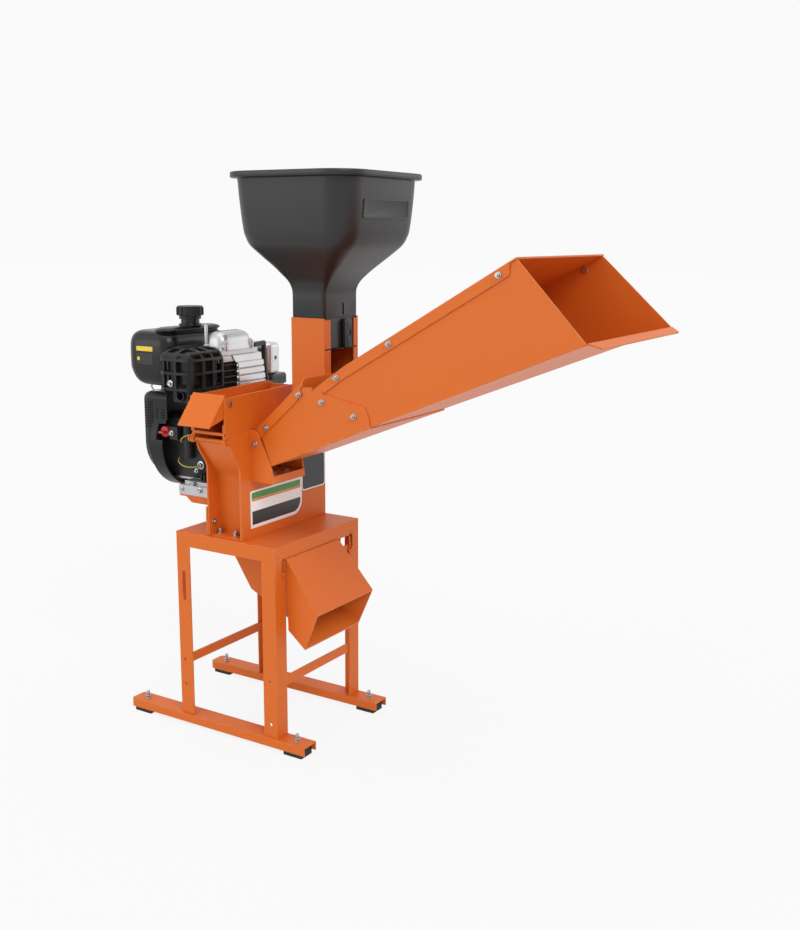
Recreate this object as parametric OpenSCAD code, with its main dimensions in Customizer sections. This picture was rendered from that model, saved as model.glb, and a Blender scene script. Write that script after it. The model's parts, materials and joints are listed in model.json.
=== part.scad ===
// Forage chopper: a knife disc and four swinging hammers in a sheet-steel housing,
// driven by a small air-cooled engine and carried on a bolted angle-iron stand.
// A long sheet chute feeds the knives, a plastic hopper feeds grain from above,
// chopped forage leaves over the hood and milled grain leaves under the deck.
// X runs toward the chute mouth, Y away from the operator and Z up.

/* [Stand] */
// Length of the stand over its angle legs
stand_len = 288; // [270:1:330]
// Width of the stand over its angle legs
stand_wid = 328; // [328:1:400]
// Height of the top of the stand above the floor
stand_top = 478; // [440:1:560]
// Width of an angle-iron flange
angle_w = 38; // [34:1:44]
// Thickness of the angle iron and the deck plate
angle_t = 3; // [2:0.5:4]
// Depth of the top rails
rail_drop = 34; // [28:1:40]
// Height of the cross braces above the floor
brace_z = 147; // [90:1:200]
// Height of the flat-bar braces
brace_h = 22; // [16:1:30]
// Thickness of the flat-bar braces
brace_t = 4; // [3:0.5:6]
// Near and far reach of the grain hole in the deck
deck_hole_y = 95; // [70:1:105]

/* [Feet] */
// Width of a foot bar
bar_w = 46; // [42:1:56]
// Height of a foot bar's folded sides
bar_h = 20; // [14:1:28]
// Thickness of the foot bars
bar_t = 3; // [2:0.5:4]
// Reach of the foot bars behind the stand's centre
bar_back = 306; // [250:1:360]
// Reach of the foot bars ahead of the stand's centre
bar_front = 222; // [190:1:300]
// Gap between the floor and a foot bar's sides
bar_clear = 10; // [6:1:16]
// Length of a rubber foot
pad_len = 50; // [36:1:60]
// Radius of a foot stud
stud_r = 4; // [3:0.5:5]
// Height of a foot stud above its bar
stud_rise = 18; // [14:1:30]

/* [Housing] */
// Height of the housing above the deck
housing_h = 250; // [244:1:280]
// Near edge of the housing plates from the drum's axis
housing_near = 157; // [150:1:162]
// Far edge of the housing plates from the drum's axis
housing_far = 165; // [155:1:180]
// Thickness of the housing and hood side plates
plate_t = 4; // [3:0.5:5]
// Inside width of the housing between its plates
drum_w = 90; // [88:1:96]
// Height of the drum's axis above the deck
drum_rise = 182; // [178:1:186]
// Inside radius of the drum
drum_r = 118; // [116:1:121]
// Thickness of the sheet-metal work
sheet_t = 3; // [2:0.5:3.5]
// Radius of the hinge rod
rod_r = 4; // [3:0.5:5]
// Holes along one row of the grain screen
screen_rows = 11; // [7:1:13]
// Radius of a screen hole
screen_hole_r = 4; // [2.5:0.5:5]

/* [Hood] */
// Height of the hood walls above the housing
hood_h = 78; // [70:1:90]
// Reach of the hood walls behind the drum's axis
hood_far = 80; // [76:1:90]
// Height of the flap's pivot above the housing
flap_rise = 65; // [60:1:68]
// Length of the deflector flap
flap_len = 84; // [70:1:92]

/* [Rotor] */
// Radius of the crankshaft
shaft_r = 12.5; // [10:0.5:14]
// Radius of the hub
hub_r = 22; // [18:1:26]
// Radius of the knife disc
disc_r = 105; // [100:1:110]
// Thickness of the knife disc
disc_t = 8; // [6:1:9]
// Thickness of a knife
knife_t = 7; // [5:0.5:7.5]
// Radius of the circle on which the hammers hang
hammer_orbit = 68; // [62:1:70]
// Length of a hammer from its pivot to its tip
hammer_len = 43; // [36:1:44]
// Thickness of a hammer
hammer_t = 10; // [6:1:12]
// Radius of a hammer pin
pin_r = 5; // [4:0.5:6]

/* [Feed chute] */
// Half width of the chute where its flare starts
throat_half = 107; // [104:1:110]
// Flare of each side of the chute
flare_angle = 8.53; // [6:0.1:10]
// Rise of the chute floor
floor_angle = 22.05; // [20:0.1:24]
// Rise of the chute cover
cover_angle = 28.7; // [27:0.1:30]
// Rise of the cover's short lower piece
neck_angle = 32.8; // [31:0.1:34]
// Foremost point of the mouth's upper edge
mouth_top = 737; // [640:1:760]
// Foremost point of the mouth's lower edge
mouth_low = 885; // [800:1:900]
// Length of the lip under the mouth
lip_len = 20; // [12:1:30]
// Depth of the cover's folded flanges
fold_h = 25; // [20:1:28]
// Radius of the sheet-metal bolts
bolt_r = 3; // [2.5:0.25:3.5]

/* [Hopper] */
// Half width of the hopper's rim
rim_half = 155; // [146:1:170]
// Height of the hopper's rim above its seat
hopper_h = 309; // [290:1:330]
// Wall of the hopper
hopper_t = 4; // [3:0.5:5]
// Height of the hopper's seat above the housing
seat_rise = 247; // [235:1:260]
// Reach of the hopper's neck below its seat
neck_drop = 67; // [60:1:72]
// Width of the grain channel across the machine
channel_w = 131; // [124:1:136]
// Depth of the grain channel along the machine
channel_d = 88; // [84:1:92]
// Travel of the grain gate
gate_travel = 75; // [50:1:80]

/* [Engine] */
// Length of the engine plate behind the housing
plate_len = 132; // [128:1:160]
// Half width of the engine plate
plate_half = 105; // [100:1:112]
// Height of the crankshaft above the engine plate
crank_h = 110; // [106:1:116]
// Radius of the fan shroud
shroud_r = 112; // [108:1:120]
// Number of cooling fins on the cylinder
fin_count = 9; // [6:1:10]
// Length of the fuel tank along the machine
tank_len = 135; // [115:1:145]
// Width of the fuel tank across the machine
tank_wid = 215; // [190:1:230]
// Height of the fuel tank
tank_h = 140; // [110:1:150]

/* [Hidden] */

$fn = 48;
orange = "#e0692a";
black = "#26272a";
alloy = "#b9bcc0";
steel = "#cfd3d6";
run_gap = 0.3;
fit_gap = 0.05;

// Heights that the head is set out from
drum_z = stand_top + drum_rise;
housing_top = stand_top + housing_h;
hood_z = housing_top + run_gap;
seat_z = housing_top + seat_rise;
front_in = drum_w - 48;
front_out = front_in + plate_t;
back_in = -48;
back_out = back_in - plate_t;

// Where the feed chute starts and how its lines run
chute_cy = -10;
throat_x = front_out + 58;
floor_z0 = stand_top + 176;
knee_x = 322;
cover_x = 246;
knee_z = mouth_top_z() - tan(cover_angle) * (mouth_top - knee_x);
channel_back = front_out + 66;
channel_front = channel_back + channel_d;
channel_y = 15.5;
function mouth_top_z() = stand_top + 639;
function floor_z(x) = floor_z0 + tan(floor_angle) * (x - throat_x);
function cover_z(x) = x > knee_x ? knee_z + tan(cover_angle) * (x - knee_x)
    : knee_z - tan(neck_angle) * (knee_x - x);
function half_w(x) = throat_half + tan(flare_angle) * (x - throat_x);
function slope_t(a) = sheet_t / cos(a);
function wall_top(x) = cover_z(x) - slope_t(x > knee_x ? cover_angle : neck_angle);

// Line on which the throat cover lies
throat_angle = 39.4;
function throat_top(x) = housing_top + 10 + tan(throat_angle) * (x - front_out - 30);

// Centre of the hinge rod and of the flap's pivot
rod_y = -199;
rod_z = housing_top - 17;
flap_y = -187;
flap_z = housing_top + flap_rise;
flap_lean = 39.7;

// Extent of the whole machine, which sets the middle of its footprint
crank_z = drum_z;
engine_z = crank_z - crank_h;
recoil_x = -318;
handle_x = recoil_x - 26;
x_min = handle_x;
x_max = mouth_low + lip_len;
y_min = flap_y - 10 - flap_len * sin(flap_lean);
y_max = chute_cy + half_w(mouth_low);

module placed() {
    translate([-(x_min + x_max) / 2, -(y_min + y_max) / 2, 0]) children();
}

// Bent sheet: a line of points given thickness t on its left
function unit(v) = v / norm(v);
function left(v) = [-v.y, v.x];
function shifted(p, i, t) = let (
    a = unit(i == 0 ? p[1] - p[0] : p[i] - p[i - 1]),
    b = unit(i == len(p) - 1 ? p[i] - p[i - 1] : p[i + 1] - p[i]),
    m = unit(left(a) + left(b))) p[i] + m * t / (m * left(a));
function sheet_outline(p, t) = concat(p, [for (i = [len(p) - 1:-1:0]) shifted(p, i, t)]);
function arc(cx, cy, r, a0, a1, n) = [for (i = [0:n]) let (a = a0 + (a1 - a0) * i / n)
    [cx + r * cos(a), cy + r * sin(a)]];

module sheet(p, t) {
    polygon(sheet_outline(p, t));
}

// Profile in Y and Z, run along X
module along_x(x0, x1) {
    translate([x0, 0, 0]) rotate([90, 0, 90]) linear_extrude(x1 - x0) children();
}

// Profile in X and Z, run along Y
module along_y(y0, y1) {
    translate([0, y1, 0]) rotate([90, 0, 0]) linear_extrude(y1 - y0) children();
}

module rod_x(x0, x1, r) {
    translate([x0, 0, 0]) rotate([0, 90, 0]) cylinder(r = r, h = x1 - x0);
}

module rod_y(y0, y1, r) {
    translate([0, y0, 0]) rotate([-90, 0, 0]) cylinder(r = r, h = y1 - y0);
}

module box(lo, hi) {
    translate(lo) cube(hi - lo);
}

module soft_box(lo, hi, r) {
    hull() for (x = [lo.x + r, hi.x - r], y = [lo.y + r, hi.y - r], z = [lo.z + r, hi.z - r])
        translate([x, y, z]) sphere(r = r, $fn = 16);
}

module slot(p, q, r) {
    for (e = [p, q]) translate(e) circle(r = r, $fn = 24);
    d = q - p;
    translate(p) rotate(atan2(d.y, d.x)) translate([0, -r]) square([norm(d), 2 * r]);
}

// Copy at one corner of the stand; sx and sy are the signs of that corner
module at_corner(sx, sy) {
    mirror([sx < 0 ? 1 : 0, 0, 0]) mirror([0, sy < 0 ? 1 : 0, 0]) children();
}

// STAND

half_len = stand_len / 2;
half_wid = stand_wid / 2;
bar_top = bar_clear + bar_h;

// One leg of angle iron, mitred under the top rails; hole heights are on its two faces
module leg(side_cuts, end_cuts) {
    top = stand_top - angle_t;
    rise = rail_drop / angle_w;
    profile = [[-angle_w, bar_top], [0, bar_top], [0, top], [-angle_t / rise, top],
        [-angle_w, stand_top - rail_drop]];
    difference() {
        union() {
            translate([half_len, half_wid, 0]) along_y(-angle_t, 0) polygon(profile);
            translate([half_len, half_wid, 0]) along_x(-angle_t, 0) polygon(profile);
        }
        translate([half_len, half_wid, 0]) along_y(-angle_t - 1, 1) cuts(side_cuts);
        translate([half_len, half_wid, 0]) along_x(-angle_t - 1, 1) cuts(end_cuts);
    }
}

// Round holes and slots in a leg's face: [inset, low, high, radius], where a hole has high = low
module cuts(list) {
    for (c = list) if (c[2] > c[1]) slot([-c[0], c[1]], [-c[0], c[2]], c[3]);
    for (c = list) if (c[2] == c[1]) translate([-c[0], c[1]]) circle(r = c[3]);
}

hook_r = 4.5;
hook_in = 29;
hook_low = stand_top - 66;
hook_high = stand_top - 33;

// Hook-shaped slot that the spout's lug drops into
module hook_slot() {
    way = [[-hook_in - hook_r, hook_low], [-hook_in - hook_r, hook_high - 7],
        [-hook_in - hook_r - 3, hook_high - hook_r + 1], [-angle_w - 1, hook_high - hook_r + 2]];
    sheet(way, -2 * hook_r);
    translate([-hook_in, hook_low]) circle(r = hook_r, $fn = 24);
}

module hooked_leg(side_cuts, end_cuts) {
    difference() {
        leg(side_cuts, end_cuts);
        translate([half_len, half_wid, 0]) along_x(-angle_t - 1, 1) hook_slot();
    }
}

leg_hole_r = 5.5;
module leg_engine_near() {
    color(orange) at_corner(-1, -1) leg([[19, 318, 379, leg_hole_r], [14, 165, 165, 4],
        [14, 104, 104, 4]], []);
}

module leg_engine_far() {
    color(orange) at_corner(-1, 1) leg([[19, 318, 379, leg_hole_r]], []);
}

module leg_chute_near() {
    color(orange) at_corner(1, -1) hooked_leg([[19, 164, 164, 4], [19, 61, 61, 4]], []);
}

module leg_chute_far() {
    color(orange) at_corner(1, 1) hooked_leg([[19, 164, 164, 4]], []);
}

// One top rail of angle iron, mitred at both ends; len is its outer length
module top_rail(len) {
    half = len / 2;
    rise = rail_drop / angle_w;
    intersection() {
        union() {
            along_y(-angle_t, 0) polygon([[-half, stand_top], [half, stand_top],
                [half - angle_w, stand_top - rail_drop], [-half + angle_w, stand_top - rail_drop]]);
            box([-half, -angle_w, stand_top - angle_t], [half, 0, stand_top]);
        }
        translate([0, 0, stand_top - 100]) linear_extrude(120) polygon([[-half, 0], [half, 0],
            [half - angle_w, -angle_w], [-half + angle_w, -angle_w]]);
    }
}

bolt_y = half_wid - 32;
bolt_x = [back_in + 10, front_in - 33];
base_bolt_r = 4;
module top_rails() {
    color(orange) difference() {
        union() for (s = [0, 1]) mirror([0, s, 0]) translate([0, half_wid, 0])
            top_rail(stand_len);
        base_bolt_holes();
    }
    color(orange) for (a = [90, 270]) rotate(a) translate([0, half_len, 0])
        top_rail(stand_wid);
}

module base_bolt_holes() {
    for (x = bolt_x, s = [-1, 1]) translate([x, s * bolt_y, stand_top - 20])
        cylinder(r = base_bolt_r + 0.2, h = 40, $fn = 24);
}

module deck_plate() {
    color(orange) difference() {
        box([-half_len + angle_w, -half_wid + angle_w, stand_top - angle_t],
            [half_len - angle_w, half_wid - angle_w, stand_top]);
        box([back_in + 3, -deck_hole_y, stand_top - angle_t - 1],
            [front_in - 3, deck_hole_y, stand_top + 1]);
    }
}

module braces() {
    color(orange) for (s = [-1, 1]) {
        x = s * (half_len - angle_t - brace_t / 2);
        box([x - brace_t / 2, -half_wid + angle_t, brace_z],
            [x + brace_t / 2, half_wid - angle_t, brace_z + brace_h]);
    }
}

bar_y = half_wid - angle_w / 2 + 2;
stud_x = [-bar_back + 35, bar_front - 35];

// Foot bar: an upturned channel, closed and rounded at the engine end
module foot_bar() {
    difference() {
        translate([0, 0, bar_clear]) linear_extrude(bar_h) bar_plan(0);
        translate([0, 0, bar_clear - 1]) linear_extrude(bar_h - bar_t + 1) bar_plan(bar_t);
        for (x = stud_x) translate([x, 0, bar_top - bar_t - 1])
            cylinder(r = stud_r + fit_gap, h = bar_t + 2);
    }
}

module bar_plan(inset) {
    r = 8;
    w = bar_w / 2 - inset;
    x0 = -bar_back + inset;
    x1 = bar_front + (inset > 0 ? 1 : 0);
    polygon(concat([[x1, -w], [x1, w]], arc(x0 + r, w - r, r, 90, 180, 6),
        arc(x0 + r, -w + r, r, 180, 270, 6)));
}

module foot_bars() {
    color(orange) for (s = [-1, 1]) translate([0, s * bar_y, 0]) foot_bar();
}

stud_seat = 8;
module foot_pads() {
    color(black) for (x = stud_x, s = [-1, 1]) translate([x, s * bar_y, 0]) difference() {
        w = bar_w / 2 - bar_t - run_gap;
        box([-pad_len / 2, -w, 0], [pad_len / 2, w, bar_top - bar_t]);
        translate([0, 0, stud_seat]) cylinder(r = stud_r + fit_gap, h = bar_top);
    }
}

module foot_studs() {
    nut_h = 6.5;
    color(steel) for (x = stud_x, s = [-1, 1]) translate([x, s * bar_y, 0]) {
        translate([0, 0, stud_seat]) cylinder(r = stud_r, h = bar_top + stud_rise - stud_seat);
        translate([0, 0, bar_top]) difference() {
            union() {
                cylinder(r = stud_r * 2, h = 1.6);
                cylinder(r = stud_r * 1.85, h = nut_h, $fn = 6);
            }
            translate([0, 0, -1]) cylinder(r = stud_r + fit_gap, h = nut_h + 2);
        }
    }
}

// GRAIN OUTLET

funnel_top = stand_top - angle_t;
funnel_half = deck_hole_y + 2 * sheet_t;
spout_x = half_len + 2;
spout_near = -half_wid + angle_w + 1;
spout_far = half_wid - angle_w - 49;
spout_far_end = half_wid - angle_w - 28;
function spout_top(x) = stand_top - 32 - tan(54.3) * (x - spout_x);

// Fixed chute under the deck: two cheeks and a sloping back
module grain_funnel() {
    top = funnel_top;
    x0 = back_in + 2;
    low_x = spout_x - 10;
    cheek = [[x0, top], [x0, top - 18], [24, stand_top - 128], [low_x, stand_top - 182],
        [low_x, stand_top - 39], [front_in + 20, top]];
    color(orange) for (s = [-1, 1]) translate([0, s * (funnel_half - sheet_t / 2), 0])
        along_y(-sheet_t / 2, sheet_t / 2) polygon(cheek);
    color(orange) along_y(-funnel_half + sheet_t, funnel_half - sheet_t)
        sheet([[low_x, stand_top - 182], [24, stand_top - 128], [x0, top - 18], [x0, top]], -sheet_t);
}

// Open spout that hangs on the two hooked legs
module lower_spout() {
    mouth_x = spout_x + 84;
    low = [spout_x + 49, stand_top - 236];
    back = [spout_x + 3, stand_top - 198];
    tip = [mouth_x, spout_top(mouth_x)];
    color(orange) difference() {
        spout_block([[spout_x, stand_top - 70], back, low, tip, [spout_x, spout_top(spout_x)]], 0);
        spout_block([[spout_x - 1, stand_top - 70], [spout_x - 1, back.y + 4.5],
            [back.x + 1, back.y + 4.5], low + [1.5, 3.5], low + [60, 3.5], tip + [60, -4],
            tip + [0, -5.2], [spout_x, spout_top(spout_x) - 5.2],
            [spout_x - 1, spout_top(spout_x) - 5.2]], sheet_t);
    }
    color(orange) for (s = [-1, 1]) {
        edge = s < 0 ? spout_near : spout_far;
        lug_y = s * (half_wid - hook_in);
        x0 = half_len - angle_t - run_gap;
        box([x0 - sheet_t, min(edge, lug_y - 5), hook_low - 7],
            [x0, max(edge - s * sheet_t, lug_y + 5), hook_low + 8]);
        box([x0 - sheet_t, edge - (s > 0 ? sheet_t : 0), hook_low - 7],
            [spout_x + 1, edge + (s < 0 ? sheet_t : 0), hook_low + 8]);
        translate([0, lug_y, hook_low]) rod_x(x0 - 1, half_len + 4, hook_r - run_gap);
    }
}

module spout_block(profile, inset) {
    intersection() {
        along_y(-half_wid, half_wid) polygon(profile);
        linear_extrude(stand_top) polygon([[spout_x - 3, spout_near + inset],
            [spout_x + 150, spout_near + inset],
            [spout_x + 150, spout_far + (spout_far_end - spout_far) * 150 / 84 - inset],
            [spout_x, spout_far - inset], [spout_x - 3, spout_far - inset]]);
    }
}

// HOUSING

ear_r = 9;

// Outline of a housing plate in Y and Z
module plate_outline() {
    sweep = -rod_y - housing_near - 12;
    polygon(concat([[-housing_near, stand_top]], [for (q = [0:22.5:180])
        [-housing_near - sweep * (1 - cos(q)) / 2, housing_top - 92 + q * 64 / 180]],
        arc(rod_y, rod_z, ear_r, 285, 120, 8), [[rod_y + 2, housing_top],
        [housing_far, housing_top], [housing_far, stand_top]]));
}

inlet_near = -housing_near + 47;
inlet_mid = -8;
inlet_far = 95;
knife_low = drum_z - 46;
knife_h = 8;

module housing_front_plate() {
    color(orange) along_x(front_in, front_out) difference() {
        plate_outline();
        polygon([[inlet_near, knife_low], [inlet_mid, knife_low], [inlet_mid, knife_low + 22],
            [inlet_far, knife_low + 22], [inlet_far, housing_top - 12],
            [inlet_near, housing_top - 12]]);
        translate([rod_y, rod_z]) circle(r = rod_r + fit_gap);
    }
}

module housing_back_plate() {
    color(orange) along_x(back_out, back_in) difference() {
        plate_outline();
        translate([0, drum_z]) circle(r = shaft_r + 8);
        translate([rod_y, rod_z]) circle(r = rod_r + fit_gap);
        for (y = [-bracket_y, bracket_y]) translate([y, bracket_z]) circle(r = bolt_r + 0.2);
    }
}

flange_out = half_wid - 12;
wrap_low = drum_r - 3;

// Sheet walls between the plates; the near one opens out into the discharge duct
module wrapper_near() {
    path = [[-flange_out, stand_top], [-wrap_low, stand_top], [-drum_r - 3, drum_z - 60],
        [-drum_r - 7, drum_z - 38], [rod_y + 13, rod_z - 6]];
    color(orange) difference() {
        along_x(back_in, front_in) sheet(path, sheet_t);
        base_bolt_holes();
    }
}

module wrapper_far() {
    r = drum_r;
    path = concat([[flange_out, stand_top + sheet_t], [wrap_low + sheet_t, stand_top + sheet_t],
        [r + sheet_t, drum_z - 60]], arc(0, drum_z, r + sheet_t, 0, asin((housing_h - drum_rise
        - run_gap) / (r + sheet_t)), 6));
    color(orange) difference() {
        along_x(back_in, front_in) sheet(path, sheet_t);
        base_bolt_holes();
    }
}

screen_t = 2;
screen_from = 200;
screen_to = 340;

// Perforated half drum under the hammers, with a ledge at each end
module grain_screen() {
    ledge_z = drum_z + drum_r * sin(screen_from);
    ledge_y = drum_r * cos(screen_from);
    color(steel) difference() {
        union() {
            along_x(back_in, front_in) difference() {
                translate([0, drum_z]) circle(r = drum_r, $fn = 96);
                translate([0, drum_z]) circle(r = drum_r - screen_t, $fn = 96);
                polygon(concat([[0, drum_z]], arc(0, drum_z, 2 * drum_r,
                    screen_to - 360, screen_from, 8)));
            }
            for (s = [0, 1]) mirror([0, s, 0]) box([back_in, -drum_r - 3 * (1 - s), ledge_z - 1],
                [front_in, ledge_y + 1, ledge_z + 1]);
        }
        for (i = [1:screen_rows], x = [back_in + 22, back_in + 46, back_in + 70])
            translate([x, 0, drum_z]) rotate([screen_from + (screen_to - screen_from) * i
                / (screen_rows + 1), 0, 0]) rod_y(drum_r - 20, drum_r + 20, screen_hole_r);
    }
}

// One bolt standing on z = 0 with its nut above and its head below a stack of sheets
module bolt(r, grip) {
    translate([0, 0, -grip - r * 1.2]) cylinder(r = r * 2.1, h = r * 1.2, $fn = 24);
    translate([0, 0, -grip]) cylinder(r = r, h = grip + r * 3.2, $fn = 24);
    cylinder(r = r * 2.1, h = r * 0.5, $fn = 24);
    cylinder(r = r * 1.85, h = r * 2, $fn = 6);
}

module base_bolts() {
    color(steel) for (x = bolt_x, s = [-1, 1])
        translate([x, s * bolt_y, stand_top + sheet_t])
            bolt(base_bolt_r, sheet_t + angle_t);
    color(steel) for (y = [-bracket_y, bracket_y]) translate([back_in, y, bracket_z])
        rotate([0, 90, 0]) bolt(bolt_r, plate_t * 2);
}

module hinge_rod() {
    color(orange) translate([0, rod_y, rod_z]) {
        rod_x(back_out - 4, front_out + 4, rod_r);
        rod_x(back_out - 8, back_out - 4, rod_r + 3.5);
        rod_x(front_out + 4, front_out + 6, rod_r + 1);
    }
}

// FEED INLET

cheek_y = throat_half - chute_cy + 2;
inlet_len = 64;
pocket_x = front_out + inlet_len;

// Cheeks, lipped floor and sloping ledge on the front plate, and the counter knife's clamp
module inlet_frame() {
    edge = throat_x - 0.6;
    color(orange) difference() {
        union() {
            along_y(-cheek_y - sheet_t, -cheek_y) polygon([[front_out, knife_low - 3],
                [pocket_x, knife_low - 3], [pocket_x, knife_low + 18], [edge, floor_z0 - 1],
                [lean_x - 0.6, housing_top - 6], [front_out + 14, housing_top - 1],
                [front_out, housing_top - 1]]);
            box([front_out, -cheek_y, knife_low - sheet_t], [pocket_x, inlet_mid + 2, knife_low]);
            along_y(inlet_mid + 2, inlet_mid + 2 + sheet_t) polygon([[front_out, knife_low - 3],
                [pocket_x, knife_low - 3], [edge, floor_z0 - slope_t(floor_angle) - 0.6],
                [front_out, knife_low + 19]]);
            along_y(inlet_mid + 2, inlet_far + 4) sheet([[front_out, knife_low + 22],
                [edge, floor_z0 - 0.6]], -sheet_t);
            box([pocket_x - sheet_t, -cheek_y, knife_low - sheet_t],
                [pocket_x, inlet_mid + 2, knife_low + 14]);
            box([front_out + 3, inlet_near + 6, knife_low + knife_h],
                [pocket_x - 12, inlet_mid - 3, knife_low + knife_h + sheet_t]);
        }
        knife_bolt_holes();
        translate([front_out + 16, 0, housing_top - 30]) rod_y(-cheek_y - 10, -cheek_y + 10,
            bolt_r + 0.2);
    }
}

knife_bolt_x = front_out + 32;
knife_bolt_y = [-80, -33];
knife_gap = 1.5;
module knife_bolt_holes() {
    for (y = knife_bolt_y) translate([knife_bolt_x, y, knife_low - 20])
        cylinder(r = base_bolt_r + 0.2, h = 40, $fn = 24);
}

// Fixed knife that the turning knives cut against
module counter_knife() {
    x0 = knife_face + knife_gap;
    color(steel) difference() {
        along_y(inlet_near + 5, inlet_mid) polygon([[x0, knife_low], [x0, knife_low + knife_h],
            [front_out + 48, knife_low + knife_h], [front_out + 50, knife_low + knife_h - 2],
            [front_out + 50, knife_low]]);
        knife_bolt_holes();
    }
}

// THROAT AND CHUTE

// Place on the near or far side plane, where s is measured from the throat along the plane
module on_side(side) {
    translate([0, chute_cy, 0]) mirror([0, side > 0 ? 1 : 0, 0])
        translate([throat_x, -throat_half, 0]) rotate([0, 0, -flare_angle])
            rotate([90, 0, 0]) children();
}

function flat_x(x) = (x - throat_x) / cos(flare_angle);

// Sheet of thickness t that follows a side plane, outlined in X and Z
module side_sheet(side, p, off, t) {
    function w(x, o) = half_w(x) + o / cos(flare_angle);
    reach = mouth_low + 100;
    intersection() {
        along_y(-stand_wid, stand_wid) polygon(p);
        translate([0, chute_cy, 0]) mirror([0, side < 0 ? 1 : 0, 0]) linear_extrude(3 * stand_top)
            polygon([[0, w(0, off)], [reach, w(reach, off)], [reach, w(reach, off + t)],
                [0, w(0, off + t)]]);
    }
}

// Everything between the two side planes, moved in by inset
module between_sides(x0, x1, inset) {
    w0 = half_w(x0) - inset / cos(flare_angle);
    w1 = half_w(x1) - inset / cos(flare_angle);
    translate([0, chute_cy, 0]) linear_extrude(2 * stand_top + housing_h * 2)
        polygon([[x0, -w0], [x1, -w1], [x1, w1], [x0, w0]]);
}

throat_end = throat_x + 289;
wall_start = cover_x - 10;

// Bolt centres on the side planes, near and far alike
throat_bolts = [[front_out + 151, throat_top(front_out + 151) - 18],
    [front_out + 49, throat_top(front_out + 49) - 17]];
joint_bolts = [[261, floor_z(261) + 92], [351, floor_z(351) + 35]];
cover_bolts = [[303, cover_z(303) - 13], [444, cover_z(444) - 13], [701, cover_z(701) - 13]];

module side_holes(side, list) {
    on_side(side) translate([0, 0, -20]) for (b = list) translate([flat_x(b.x), b.y, 0])
        cylinder(r = bolt_r + 0.2, h = 40, $fn = 24);
}

module throat_floor() {
    x0 = throat_x;
    color(orange) intersection() {
        along_y(-stand_wid, stand_wid)
            sheet([[x0, floor_z(x0)], [throat_end, floor_z(throat_end)]], -sheet_t);
        between_sides(x0, throat_end, -sheet_t);
    }
}

module throat_sides() {
    side = concat([[throat_x, floor_z0], [lean_x, housing_top - 6], [lean_x, throat_top(lean_x)],
        [193, throat_top(193)], [cover_low - 0.5, throat_top(193) + 4],
        [cover_low - 0.5, cover_z(cover_low) - 4], [fold_x, wall_top(fold_x)],
        [fold_x + 18, cover_z(fold_x) - fold_h + 9]], [for (q = [[-30, 54], [-15, 46], [-5, 25],
        [0, 0]]) [throat_end + q.x, floor_z(throat_end + q.x) + q.y]]);
    color(orange) for (s = [-1, 1]) difference() {
        side_sheet(s, side, 0, sheet_t);
        side_holes(s, concat(throat_bolts, joint_bolts));
    }
}

lean_x = front_out + 24;
cover_low = cover_x - 14;
fold_x = cover_x + 2;
lift_x = front_out + 154;

// Sloping lid of the throat, with folded sides and an upright round-cornered end
module throat_cover() {
    x0 = front_out;
    lower = [x0, throat_top(x0)];
    end_x = lift_x + run_gap;
    upper = [end_x + 1, throat_top(end_x + 1)];
    side_y = half_w(lift_x) - run_gap;
    end_y = side_y + 2 * sheet_t;
    turn = 16;
    rise = 13;
    grain_hole = [channel_back + 8, channel_front - 8];
    color(orange) difference() {
        union() {
            intersection() {
                along_y(-stand_wid, stand_wid) sheet([lower, upper], sheet_t);
                between_sides(x0, lift_x + 20, -2 * sheet_t);
            }
            along_x(end_x, end_x + sheet_t) translate([chute_cy, upper.y])
                polygon(concat([[-side_y, -14], [side_y, -14], [side_y, -5], [end_y, -5]],
                    arc(end_y - turn, rise - turn, turn, 0, 90, 6),
                    arc(-end_y + turn, rise - turn, turn, 90, 180, 6), [[-end_y, -5], [-side_y, -5]]));
            for (s = [-1, 1]) side_sheet(s, [[x0 + 6, throat_top(x0 + 6) + 1], [x0 + 20,
                throat_top(x0 + 20) - fold_h], [lift_x - 10, throat_top(lift_x - 10) - fold_h],
                [lift_x - 2, throat_top(lift_x - 2) - 20], [lift_x, throat_top(lift_x) + 1]],
                sheet_t, sheet_t);
        }
        box([grain_hole.x, channel_y - 50, housing_top - 20],
            [grain_hole.y, channel_y + 50, housing_top + 200]);
        for (s = [-1, 1]) side_holes(s, throat_bolts);
    }
}

// Chute wall, inside the throat's sides and the cover's folds
module chute_wall(side) {
    x0 = wall_start;
    p = [[x0, floor_z(x0)], [mouth_low, floor_z(mouth_low)], [mouth_top, wall_top(mouth_top)],
        [knee_x, knee_z - slope_t(neck_angle)], [x0, wall_top(x0)]];
    color(orange) difference() {
        side_sheet(side, p, -sheet_t, sheet_t);
        side_holes(side, concat(joint_bolts, cover_bolts));
    }
}

module chute_near_wall() {
    chute_wall(-1);
}

module chute_far_wall() {
    chute_wall(1);
}

// Chute floor between the walls, ending in a lip that lies flatter than the floor
module chute_floor() {
    x0 = wall_start;
    edge = floor_z(mouth_low);
    color(orange) intersection() {
        along_y(-stand_wid, stand_wid) sheet([[x0, floor_z(x0)], [mouth_low, edge],
            [mouth_low + lip_len, edge - 8]], sheet_t);
        union() {
            between_sides(x0, mouth_low, sheet_t);
            translate([0, chute_cy, 0]) linear_extrude(3 * stand_top) polygon([
                [mouth_low - 0.1, -half_w(mouth_low) + sheet_t / cos(flare_angle)],
                [mouth_low + lip_len, -half_w(mouth_low) + lip_len],
                [mouth_low + lip_len, half_w(mouth_low) - lip_len],
                [mouth_low - 0.1, half_w(mouth_low) - sheet_t / cos(flare_angle)]]);
        }
    }
}

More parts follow.
